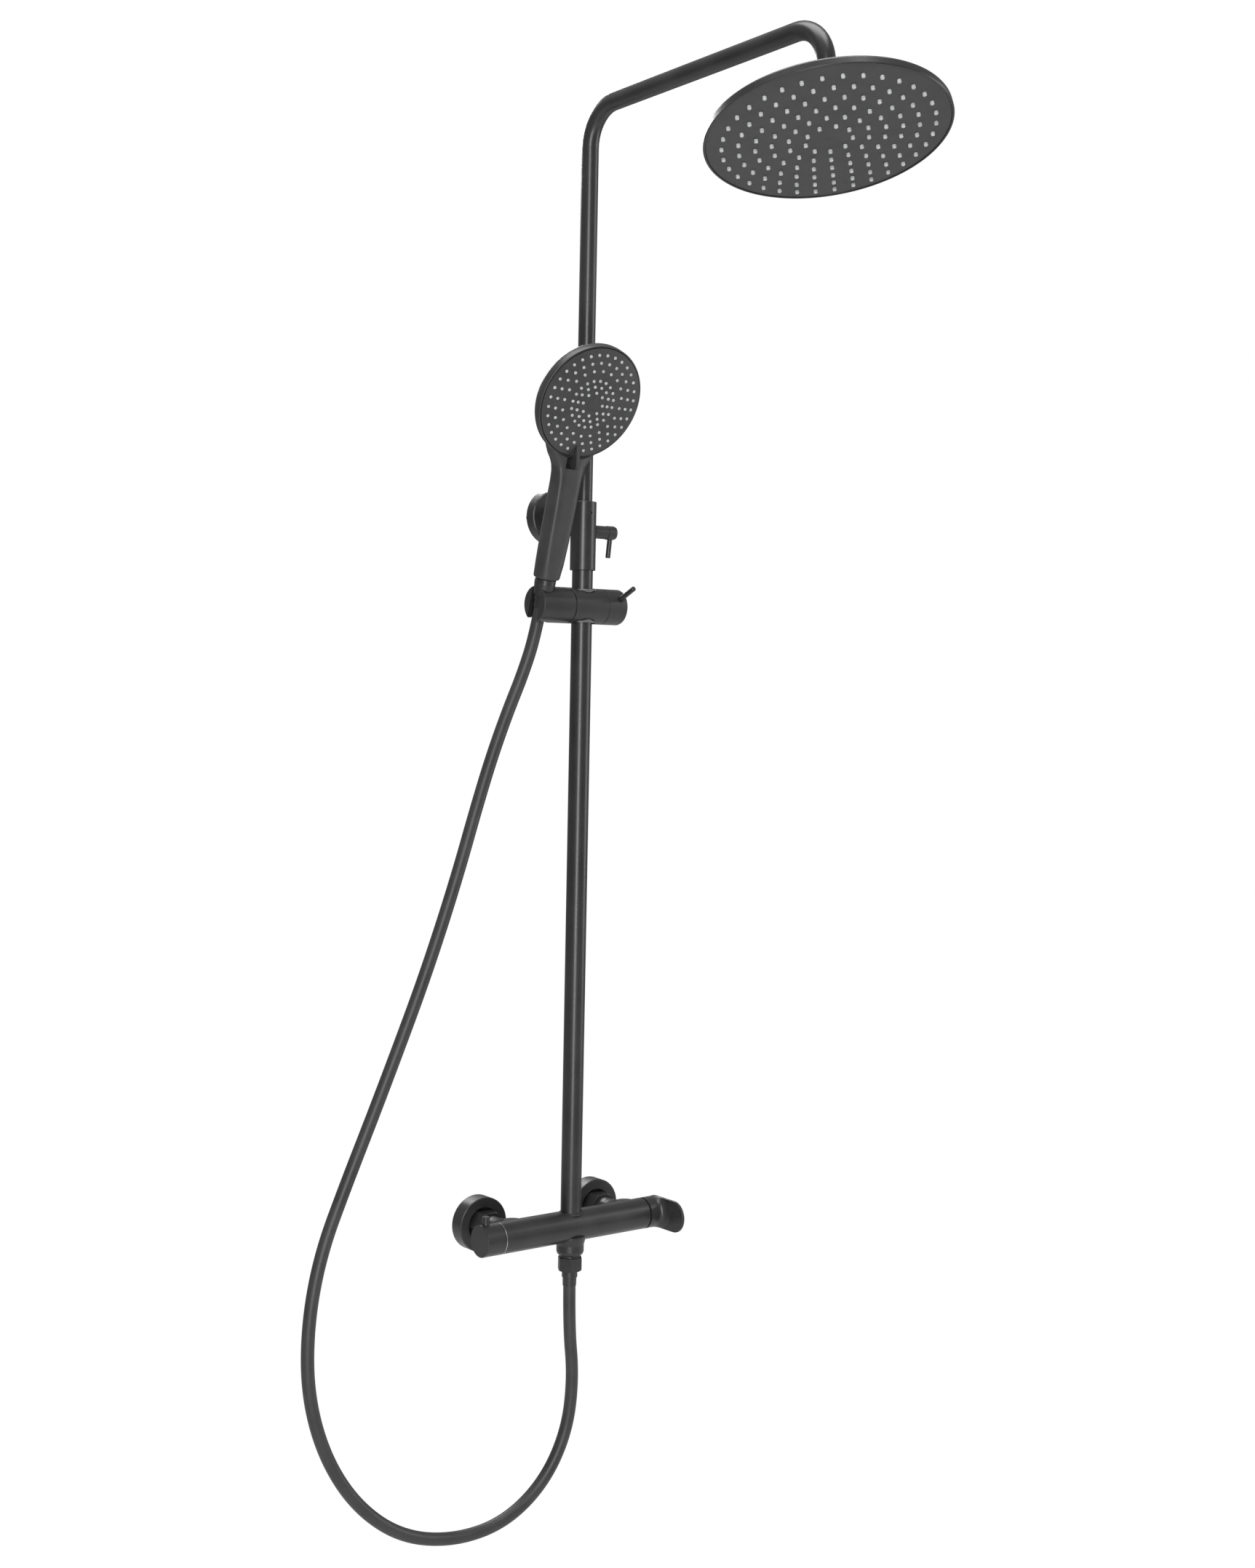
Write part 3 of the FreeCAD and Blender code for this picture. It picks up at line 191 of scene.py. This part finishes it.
def silicone():
    """Light grey nozzle silicone with a soft translucent look."""
    made = Nodes("silicone")
    cloud = made.noise(300.0, 3.0, 0.6)
    made.colours(cloud, "Fac", (0.46, 0.465, 0.47), (0.60, 0.605, 0.61))
    made.roughness(cloud, "Fac", 0.34, 0.48)
    made.shader.inputs["Subsurface Weight"].default_value = 0.15
    made.shader.inputs["Subsurface Radius"].default_value = (0.001, 0.001, 0.001)
    fine = made.noise(2200.0, 2.0)
    return made.finish(made.bump(fine, "Fac", 0.15, 0.00003))


def machined_metal(name, dark, light, low, high, turned_scale):
    """Machined metal with fine tool marks and a slightly patchy polish."""
    made = Nodes(name)
    made.shader.inputs["Metallic"].default_value = 1.0
    cloud = made.noise(60.0, 4.0, 0.6)
    made.colours(cloud, "Fac", dark, light)
    made.roughness(cloud, "Fac", low, high)
    marks = made.add("ShaderNodeTexWave", Scale=turned_scale, Distortion=1.5, Detail=2.0)
    made.join(made.place, "Object", marks, "Vector")
    return made.finish(made.bump(marks, "Fac", 0.15, 0.00003))


def engineering_plastic():
    """Grey glass-filled moulding for the inner parts: fibres show as short streaks."""
    made = Nodes("engineering_plastic")
    fibres = made.noise(420.0, 6.0, 0.75)
    made.colours(fibres, "Fac", (0.10, 0.10, 0.105), (0.17, 0.17, 0.175))
    made.roughness(fibres, "Fac", 0.4, 0.6)
    return made.finish(made.bump(fibres, "Fac", 0.2, 0.00005))


def seal_rubber():
    """Black seal rubber with a dull bloom."""
    made = Nodes("seal_rubber")
    bloom = made.noise(160.0, 5.0, 0.65)
    made.colours(bloom, "Fac", (0.014, 0.014, 0.014), (0.030, 0.030, 0.031))
    made.roughness(bloom, "Fac", 0.6, 0.8)
    return made.finish(made.bump(bloom, "Fac", 0.2, 0.0001))


MATERIALS = {
    "matte_black": powder_coat(),
    "black_plastic": moulded_black(),
    "hose_black": hose_cover(),
    "nozzle_silicone": silicone(),
    "brass": machined_metal("machined_brass", (0.55, 0.38, 0.16), (0.68, 0.50, 0.24),
                            0.24, 0.38, 900.0),
    "steel": machined_metal("zinc_steel", (0.42, 0.43, 0.45), (0.58, 0.59, 0.61),
                            0.28, 0.42, 700.0),
    "bright_ring": machined_metal("bright_ring", (0.55, 0.55, 0.56), (0.66, 0.66, 0.67),
                                  0.2, 0.3, 1200.0),
    "grey_plastic": engineering_plastic(),
    "black_rubber": seal_rubber(),
}


def dress(thing, slot_name):
    thing.data.materials.clear()
    thing.data.materials.append(MATERIALS[slot_name])


SLOTS = {entry["node"]: entry["material_slot"] for entry in frame["record"]["subparts"]}
SMOOTH_ANGLE = math.radians(28)
for node_name, thing in nodes.items():
    dress(thing, SLOTS[node_name])
    thing.data.shade_smooth()
    thing.data.set_sharp_from_angle(angle=SMOOTH_ANGLE)

# ------------------------------------------------------------ mesh helpers


def new_piece(name, points, faces, slot_name):
    mesh = bpy.data.meshes.new(name)
    mesh.from_pydata([tuple(point) for point in points], [], faces)
    mesh.validate()
    mesh.shade_smooth()
    mesh.set_sharp_from_angle(angle=SMOOTH_ANGLE)
    thing = bpy.data.objects.new(name, mesh)
    bpy.context.scene.collection.objects.link(thing)
    dress(thing, slot_name)
    return thing


def grid_faces(rows, columns, first=0, closed=True):
    """Quads between neighbouring rows of a grid of points; columns close round."""
    faces = []
    span = columns if closed else columns - 1
    for row in range(rows - 1):
        for column in range(span):
            beside = (column + 1) % columns
            low = first + row * columns
            high = low + columns
            faces.append((low + column, low + beside, high + beside, high + column))
    return faces


# -------------------------------------------------------------------- hose

HOSE_DIAMETER = 0.0134
HOSE_ROUTE = [
    (-0.0530, -0.07309, 0.6684), (-0.0530, -0.06165, 0.62903), (-0.0630, -0.0550, 0.5890),
    (-0.0795, -0.0510, 0.5475), (-0.0990, -0.0510, 0.4995), (-0.1175, -0.0515, 0.4465),
    (-0.1360, -0.0520, 0.3895), (-0.1570, -0.0520, 0.3300), (-0.1810, -0.0520, 0.2680),
    (-0.2080, -0.0520, 0.2050), (-0.2370, -0.0525, 0.1400), (-0.2670, -0.0530, 0.0750),
    (-0.2955, -0.0540, 0.0095), (-0.3095, -0.0550, -0.0590), (-0.3090, -0.0560, -0.1290),
    (-0.2890, -0.0570, -0.1960), (-0.2515, -0.0580, -0.2540), (-0.1995, -0.0595, -0.2960),
    (-0.1370, -0.0610, -0.3140), (-0.0755, -0.0630, -0.3095), (-0.0260, -0.0650, -0.2775),
    (0.0030, -0.0670, -0.2265), (0.0090, -0.0690, -0.1665), (0.0000, -0.0710, -0.1070),
    (0.0000, -0.0710, -0.0492),
]
HOSE_SIDES = 24


def hose_line():
    """Points along the smooth curve whose control points are the hose's route."""
    curve = bpy.data.curves.new("hose_line", "CURVE")
    curve.dimensions = "3D"
    curve.resolution_u = 16
    spline = curve.splines.new("NURBS")
    spline.points.add(len(HOSE_ROUTE) - 1)
    for point, place in zip(spline.points, HOSE_ROUTE):
        point.co = (*place, 1.0)
    spline.order_u = 3
    spline.use_endpoint_u = True
    holder = bpy.data.objects.new("hose_line", curve)
    bpy.context.scene.collection.objects.link(holder)
    bpy.context.view_layer.update()
    mesh = bpy.data.meshes.new_from_object(holder)
    line = [vertex.co.copy() for vertex in mesh.vertices]
    bpy.data.objects.remove(holder)
    return line


def tube(line, radius, sides):
    """Rings of points square to the line, carried along without twist, with closed ends."""
    points = []
    across = None
    for index, place in enumerate(line):
        ahead = line[min(index + 1, len(line) - 1)]
        behind = line[max(index - 1, 0)]
        heading = (ahead - behind).normalized()
        if across is None:
            across = heading.orthogonal().normalized()
        across = (across - heading * across.dot(heading)).normalized()
        upward = heading.cross(across)
        for side in range(sides):
            turn = 2 * math.pi * side / sides
            points.append(place + radius * (math.cos(turn) * across + math.sin(turn) * upward))
    faces = grid_faces(len(line), sides)
    faces.append(tuple(reversed(range(sides))))
    faces.append(tuple(len(points) - sides + side for side in range(sides)))
    return points, faces


def make_hose():
    line = hose_line()
    points, faces = tube(line, HOSE_DIAMETER / 2, HOSE_SIDES)
    hose = new_piece("hose", points, faces, "hose_black")
    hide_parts("hose_tube")
    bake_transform(hose)


make_hose()

# ----------------------------------------------------------------- nozzles


def lathe_piece(name, profile, centres, turns, slot_name, sides=16):
    """One mesh of many turned pieces: profile is (radius, height) in millimetres."""
    points, faces = [], []
    for centre, turn in zip(centres, turns):
        first = len(points)
        for radius, height in profile:
            for side in range(sides):
                angle = 2 * math.pi * side / sides
                local = Vector((radius * math.cos(angle), radius * math.sin(angle), height))
                points.append(centre + turn @ (local * MM))
        faces += grid_faces(len(profile), sides, first)
        faces.append(tuple(first + side for side in reversed(range(sides))))
        last = len(points) - sides
        faces.append(tuple(last + side for side in range(sides)))
    return new_piece(name, points, faces, slot_name)


def disc_frame(centre, normal):
    """A turn whose Z is the given normal and whose X keeps as near to world X as it can."""
    z = Vector(normal).normalized()
    x = (Vector((1, 0, 0)) - z * z.x).normalized()
    return Matrix((x, z.cross(x), z)).transposed(), Vector(centre)


def ring_places(turn, centre, rings, height_at):
    """Places on a dish: rings is a list of (radius, count, first angle, left out)."""
    places = []
    for radius, count, first, left_out in rings:
        for index in range(count):
            if index in left_out:
                continue
            angle = math.radians(first) + 2 * math.pi * index / count
            local = Vector((radius * math.cos(angle), radius * math.sin(angle), height_at(radius)))
            places.append(centre + turn @ (local * MM))
    return places


HEAD_TILT = math.radians(17.17)
HEAD_SIDE = math.radians(4.2)
HEAD_NORMAL = (math.sin(HEAD_SIDE), math.sin(HEAD_TILT) * math.cos(HEAD_SIDE),
               math.cos(HEAD_TILT) * math.cos(HEAD_SIDE))
HEAD_BALL = (0, -0.428, 1.1041)
HEAD_DROP = 26.0
HEAD_SAG = 2.94
HEAD_RING = 98.1
HEAD_COUNTS = (9, 14, 19, 24, 29, 34)
HEAD_RATIOS = (0.2230, 0.3783, 0.5338, 0.6892, 0.8449, 1.0)
HEAD_PHASE = 116.7
HEAD_SHARE = 0.203


def head_height(radius):
    return HEAD_SAG * (radius / HEAD_RING) ** 3 - HEAD_DROP


def make_head_nozzles():
    turn, ball = disc_frame(HEAD_BALL, HEAD_NORMAL)
    rings = [(HEAD_RING * ratio, count, HEAD_PHASE + HEAD_SHARE * 360 / count, ())
             for count, ratio in zip(HEAD_COUNTS, HEAD_RATIOS)]
    places = ring_places(turn, ball, rings, head_height)
    profile = [(1.9, 1.0), (1.9, -1.5), (1.84, -2.35), (1.6, -2.72), (1.2, -2.86), (0.78, -2.86),
               (0.64, -2.6), (0.55, -0.6)]
    nozzles = lathe_piece("overhead_nozzles", profile, places, [turn] * len(places),
                          "nozzle_silicone")
    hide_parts("head_nozzles")
    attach(nozzles, "overhead_shower")


HAND_CENTRE = (-0.053, -0.1540, 0.8596)
HAND_TILT = math.radians(117.5)
HAND_NORMAL = (0, -math.sin(HAND_TILT), math.cos(HAND_TILT))
HAND_SAG = 2.8
HAND_RING = 50.9
HAND_COUNTS = (8, 14, 20, 20, 26, 32)
HAND_RATIOS = (0.239, 0.362, 0.485, 0.683, 0.842, 1.0)
HAND_PHASE = -2.0
BEHIND_LEVER = 24


def hand_height(radius):
    return -HAND_SAG * (radius / 50.0) ** 2


def make_hand_nozzles():
    turn, centre = disc_frame(HAND_CENTRE, HAND_NORMAL)
    rings = [(HAND_RING * ratio, count, HAND_PHASE, (BEHIND_LEVER,) if ratio == 1.0 else ())
             for count, ratio in zip(HAND_COUNTS, HAND_RATIOS)]
    places = ring_places(turn, centre, rings, hand_height)
    profile = [(1.55, -0.8), (1.55, 0.35), (1.42, 0.8), (1.12, 1.0), (0.72, 1.05), (0.58, 0.9),
               (0.5, -0.6)]
    nozzles = lathe_piece("hand_shower_nozzles", profile, places, [turn] * len(places),
                          "nozzle_silicone")
    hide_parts("hand_nozzles")
    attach(nozzles, "hand_shower")


make_head_nozzles()
make_hand_nozzles()

# ------------------------------------------------------- hand shower shell

SEAT = (-0.053, -0.071, 0.6612)
SEAT_TILT = math.radians(16.2)
SHELL_GRAIN = 0.0009
LIP = -4.05
SECTION_SIDES = 64
TURNED_SIDES = 160
SEAL_SIDES = 64
SOFTENING_ROUNDS = 5
CREASE = math.radians(40)

# Distance along the handle, half width, front, back, squareness in front, behind.
HANDLE_SECTIONS = (
    (28.0, 12.6, -12.6, 12.6, 2.2, 2.0), (28.9, 13.4, -13.4, 13.4, 2.4, 2.0),
    (45.0, 13.8, -13.7, 13.7, 3.4, 2.1), (70.0, 14.1, -13.8, 13.7, 4.4, 2.2),
    (100.0, 14.3, -13.8, 13.3, 5.0, 2.2), (118.0, 14.5, -13.6, 12.4, 5.0, 2.3),
    (130.0, 14.9, -13.3, 11.2, 5.0, 2.4), (139.0, 15.9, -13.0, 10.0, 4.6, 2.5),
    (146.0, 18.0, -12.7, 8.8, 3.6, 2.6), (152.0, 21.6, -12.6, 7.6, 3.4, 2.7),
    (158.0, 26.4, -12.4, 6.4, 3.2, 2.8), (166.0, 31.0, -11.6, 4.4, 3.0, 2.8),
    (174.0, 34.0, -10.2, 2.4, 3.0, 2.8),
)
CUP_PROFILE = (
    (0, -25.7), (24.0, -25.6), (40.0, -23.4), (51.0, -20.2), (56.6, -17.6), (59.0, -15.0),
    (59.8, -12.2), (59.8, LIP - 1.6), (58.5, LIP - 1.6), (58.5, -11.6), (56.3, -13.1),
    (50.0, -17.3), (40.0, -20.1), (24.0, -22.7), (0, -22.7),
)
CAVITY_PROFILE = (
    (0, 6.0), (59.2, 6.0), (59.2, -13.5), (57.4, -16.1), (51.5, -18.7), (40.0, -21.7),
    (24.0, -24.2), (0, -24.2),
)
LIP_PROFILE = (
    (59.75, LIP - 9.0), (60.0, LIP - 7.0), (60.0, LIP - 0.9), (59.75, LIP - 0.35),
    (59.3, LIP - 0.05), (58.85, LIP - 0.02), (58.5, LIP - 0.3), (58.4, LIP - 0.8),
    (58.4, LIP - 5.0),
)
WINDOW = ((-9.9, 2.4), (-69.8, -57.0), (-13.0, 6.0))


def in_frame(points, turn, base):
    return [base + turn @ (Vector(point) * MM) for point in points]


def rounded(value, power):
    return math.copysign(abs(value) ** power, value)


def handle_points():
    """Rings round the handle, then the socket that takes the nipple at its foot."""
    points = []
    for along, half, front, back, square_front, square_back in HANDLE_SECTIONS[::-1]:
        for side in range(SECTION_SIDES):
            turn = 2 * math.pi * side / SECTION_SIDES
            facing_front = math.sin(turn) < 0
            power = 2 / (square_front if facing_front else square_back)
            depth = -front if facing_front else back
            points.append((half * rounded(math.cos(turn), power),
                           depth * rounded(math.sin(turn), power), along))
    for radius, along in ((9.9, 28.0), (9.9, 41.0)):
        for side in range(SECTION_SIDES):
            turn = 2 * math.pi * side / SECTION_SIDES
            points.append((radius * math.cos(turn), radius * math.sin(turn), along))
    return points


def capped(points, sides):
    faces = grid_faces(len(points) // sides, sides)
    faces.append(tuple(reversed(range(sides))))
    faces.append(tuple(len(points) - sides + side for side in range(sides)))
    return faces


def ring_points(profile, sides):
    """A ring of points for each (radius, height) of a turned profile."""
    return [(radius * math.cos(2 * math.pi * side / sides),
             radius * math.sin(2 * math.pi * side / sides), height)
            for radius, height in profile for side in range(sides)]


def lathe(profile, sides=TURNED_SIDES):
    """A closed turned solid whose profile starts and ends on the axis."""
    rings = profile[1:-1]
    points = ring_points(rings, sides)
    faces = grid_faces(len(rings), sides)
    for row, (radius, height) in ((0, profile[0]), (len(rings) - 1, profile[-1])):
        points.append((0, 0, height))
        for side in range(sides):
            faces.append((row * sides + side, row * sides + (side + 1) % sides, len(points) - 1))
    return points, faces


def loose_object(name, points, faces):
    mesh = bpy.data.meshes.new(name)
    mesh.from_pydata([tuple(point) for point in points], [], faces)
    thing = bpy.data.objects.new(name, mesh)
    bpy.context.scene.collection.objects.link(thing)
    bm = bmesh.new()
    bm.from_mesh(mesh)
    bmesh.ops.recalc_face_normals(bm, faces=bm.faces)
    bm.to_mesh(mesh)
    bm.free()
    return thing


def settled(thing):
    """Replace an object's mesh with the result of its modifiers."""
    bpy.context.view_layer.update()
    result = thing.evaluated_get(bpy.context.evaluated_depsgraph_get())
    mesh = bpy.data.meshes.new_from_object(result)
    thing.modifiers.clear()
    thing.data = mesh
    return thing


def carve(thing, tool):
    cutter = thing.modifiers.new("carve", "BOOLEAN")
    cutter.operation = "DIFFERENCE"
    cutter.solver = "EXACT"
    cutter.object = tool
    settled(thing)
    bpy.data.objects.remove(tool)
    return thing


def joined(first, second):
    """The first object's mesh with the second's added to it."""
    bm = bmesh.new()
    bm.from_mesh(first.data)
    bm.from_mesh(second.data)
    bm.to_mesh(first.data)
    bm.free()
    bpy.data.objects.remove(second)
    return first


def box_points(spans):
    corners = [(x, y, z) for x in spans[0] for y in spans[1] for z in spans[2]]
    faces = [(0, 1, 3, 2), (4, 6, 7, 5), (0, 4, 5, 1), (2, 3, 7, 6), (0, 2, 6, 4), (1, 5, 7, 3)]
    return corners, faces


def make_hand_shell():
    """The moulded shell: a soft flattened handle that flares into the round cup."""
    seat_turn = Matrix.Rotation(SEAT_TILT, 3, "X")
    hand_turn = Matrix.Rotation(HAND_TILT, 3, "X")
    seat, centre = Vector(SEAT), Vector(HAND_CENTRE)
    ring = handle_points()
    handle = loose_object("handle", in_frame(ring, seat_turn, seat), capped(ring, SECTION_SIDES))
    points, faces = lathe(CAVITY_PROFILE)
    carve(handle, loose_object("cavity", in_frame(points, hand_turn, centre), faces))
    points, faces = lathe(CUP_PROFILE)
    cup = loose_object("cup", in_frame(points, hand_turn, centre), faces)
    shell = joined(handle, cup)
    grain = shell.modifiers.new("grain", "REMESH")
    grain.mode = "VOXEL"
    grain.voxel_size = SHELL_GRAIN
    soften = shell.modifiers.new("soften", "SMOOTH")
    soften.factor = 0.5
    soften.iterations = SOFTENING_ROUNDS
    settled(shell)
    points, faces = box_points(WINDOW)
    carve(shell, loose_object("window", in_frame(points, hand_turn, centre), faces))
    rings = ring_points(LIP_PROFILE, TURNED_SIDES)
    lip = loose_object("lip", in_frame(rings, hand_turn, centre),
                       grid_faces(len(LIP_PROFILE), TURNED_SIDES))
    joined(shell, lip)
    shell.name = "hand_shower_shell"
    shell.data.shade_smooth()
    shell.data.set_sharp_from_angle(angle=CREASE)
    dress(shell, "black_plastic")
    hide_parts("hand_shell")
    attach(shell, "hand_shower")


make_hand_shell()


SEAL_PROFILE = ((10.3, 27.35), (10.3, 28.3), (9.2, 28.3), (9.2, 27.35))


def make_swivel_seal():
    """The dark ring seen in the gap between the cone nut and the foot of the handle."""
    turn = Matrix.Rotation(SEAT_TILT, 3, "X")
    points = in_frame(ring_points(SEAL_PROFILE, SEAL_SIDES), turn, Vector(SEAT))
    faces = grid_faces(len(SEAL_PROFILE), SEAL_SIDES)
    last = (len(SEAL_PROFILE) - 1) * SEAL_SIDES
    for side in range(SEAL_SIDES):
        beside = (side + 1) % SEAL_SIDES
        faces.append((last + side, last + beside, beside, side))
    seal = new_piece("swivel_seal", points, faces, "black_rubber")
    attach(seal, "hand_shower")


make_swivel_seal()

LEVER_SPAN = (-55.0, -51.0)
LEVER_FRONT = [(-131.3, 820.6), (-131.3, 801.2), (-130.9, 799.2), (-129.6, 798.0), (-127.8, 797.6)]
LEVER_FOOT = [(-122.0, 797.6), (-119.6, 799.4), (-119.2, 803.0), (-120.4, 806.8)]
LEVER_OVER_FACE = ((60.4, -3.7), (57.5, -3.45), (54.0, -3.0), (50.0, -2.5), (46.5, -2.1))


def make_lever():
    """The spray selector: a fin that stands upright across the lower rim of the spray face."""
    hand_turn = Matrix.Rotation(HAND_TILT, 3, "X")
    under = [Vector(HAND_CENTRE) + hand_turn @ (Vector((0, -reach, height)) * MM)
             for reach, height in LEVER_OVER_FACE]
    outline = [(y * MM, z * MM) for y, z in LEVER_FRONT + LEVER_FOOT]
    outline += [(point.y, point.z) for point in under]
    count = len(outline)
    points = [(x * MM, y, z) for x in LEVER_SPAN for y, z in outline]
    faces = [tuple(range(count)), tuple(reversed(range(count, 2 * count)))]
    for index in range(count):
        beside = (index + 1) % count
        faces.append((index, index + count, beside + count, beside))
    lever = new_piece("spray_selector_lever", points, faces, "black_plastic")
    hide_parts("mode_lever")
    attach(lever, "mode_control")


make_lever()

# --------------------------------------------------------- floor and light


FLOOR_REACH = 60.0
FLOOR_HEIGHT = -0.62
FLOOR_TONE = (0.72, 0.72, 0.72, 1)
WHITE = (1, 1, 1, 1)
GLOW_STRENGTH = 0.30


def make_floor():
    """A plain floor: even white to the camera, a pale matt surface to every other ray."""
    corners = [(x * FLOOR_REACH, y * FLOOR_REACH, FLOOR_HEIGHT)
               for x, y in ((-1, -1), (1, -1), (1, 1), (-1, 1))]
    mesh = bpy.data.meshes.new("floor")
    mesh.from_pydata(corners, [], [(0, 1, 2, 3)])
    floor = bpy.data.objects.new("floor", mesh)
    bpy.context.scene.collection.objects.link(floor)
    material = bpy.data.materials.new("floor")
    material.use_nodes = True
    tree = material.node_tree
    tree.nodes.clear()
    output = tree.nodes.new("ShaderNodeOutputMaterial")
    mix = tree.nodes.new("ShaderNodeMixShader")
    path = tree.nodes.new("ShaderNodeLightPath")
    matt = tree.nodes.new("ShaderNodeBsdfDiffuse")
    matt.inputs["Color"].default_value = FLOOR_TONE
    pale = tree.nodes.new("ShaderNodeEmission")
    pale.inputs["Color"].default_value = WHITE
    pale.inputs["Strength"].default_value = 1.0
    tree.links.new(path.outputs["Is Camera Ray"], mix.inputs["Fac"])
    tree.links.new(matt.outputs["BSDF"], mix.inputs[1])
    tree.links.new(pale.outputs["Emission"], mix.inputs[2])
    tree.links.new(mix.outputs["Shader"], output.inputs["Surface"])
    mesh.materials.append(material)


def soft_light(name, place, aim, width, height, power):
    data = bpy.data.lights.new(name, "AREA")
    data.shape = "RECTANGLE"
    data.size = width
    data.size_y = height
    data.energy = power
    light = bpy.data.objects.new(name, data)
    light.location = place
    light.rotation_mode = "QUATERNION"
    light.rotation_quaternion = (Vector(aim) - Vector(place)).to_track_quat("-Z", "Y")
    bpy.context.scene.collection.objects.link(light)


def make_world():
    """White to the camera; a softer grey all round as a light."""
    world = bpy.data.worlds.new("studio")
    bpy.context.scene.world = world
    world.use_nodes = True
    tree = world.node_tree
    tree.nodes.clear()
    output = tree.nodes.new("ShaderNodeOutputWorld")
    mix = tree.nodes.new("ShaderNodeMixShader")
    path = tree.nodes.new("ShaderNodeLightPath")
    glow = tree.nodes.new("ShaderNodeBackground")
    glow.inputs["Color"].default_value = WHITE
    glow.inputs["Strength"].default_value = GLOW_STRENGTH
    white = tree.nodes.new("ShaderNodeBackground")
    white.inputs["Color"].default_value = WHITE
    white.inputs["Strength"].default_value = 1.0
    tree.links.new(path.outputs["Is Camera Ray"], mix.inputs["Fac"])
    tree.links.new(glow.outputs["Background"], mix.inputs[1])
    tree.links.new(white.outputs["Background"], mix.inputs[2])
    tree.links.new(mix.outputs["Shader"], output.inputs["Surface"])


make_floor()
make_world()
MIDDLE = (0, -0.15, 0.5)
soft_light("key", (-1.55, -2.02, 0.75), MIDDLE, 0.45, 2.4, 46)
soft_light("side", (2.3, -1.5, 0.9), MIDDLE, 1.0, 2.4, 22)
soft_light("top", (-0.2, -0.3, 2.6), MIDDLE, 2.0, 1.2, 40)
soft_light("back", (0.5, 1.9, 1.9), (0, -0.07, 0.1), 1.6, 0.5, 30)
bpy.context.scene.view_settings.view_transform = "Standard"
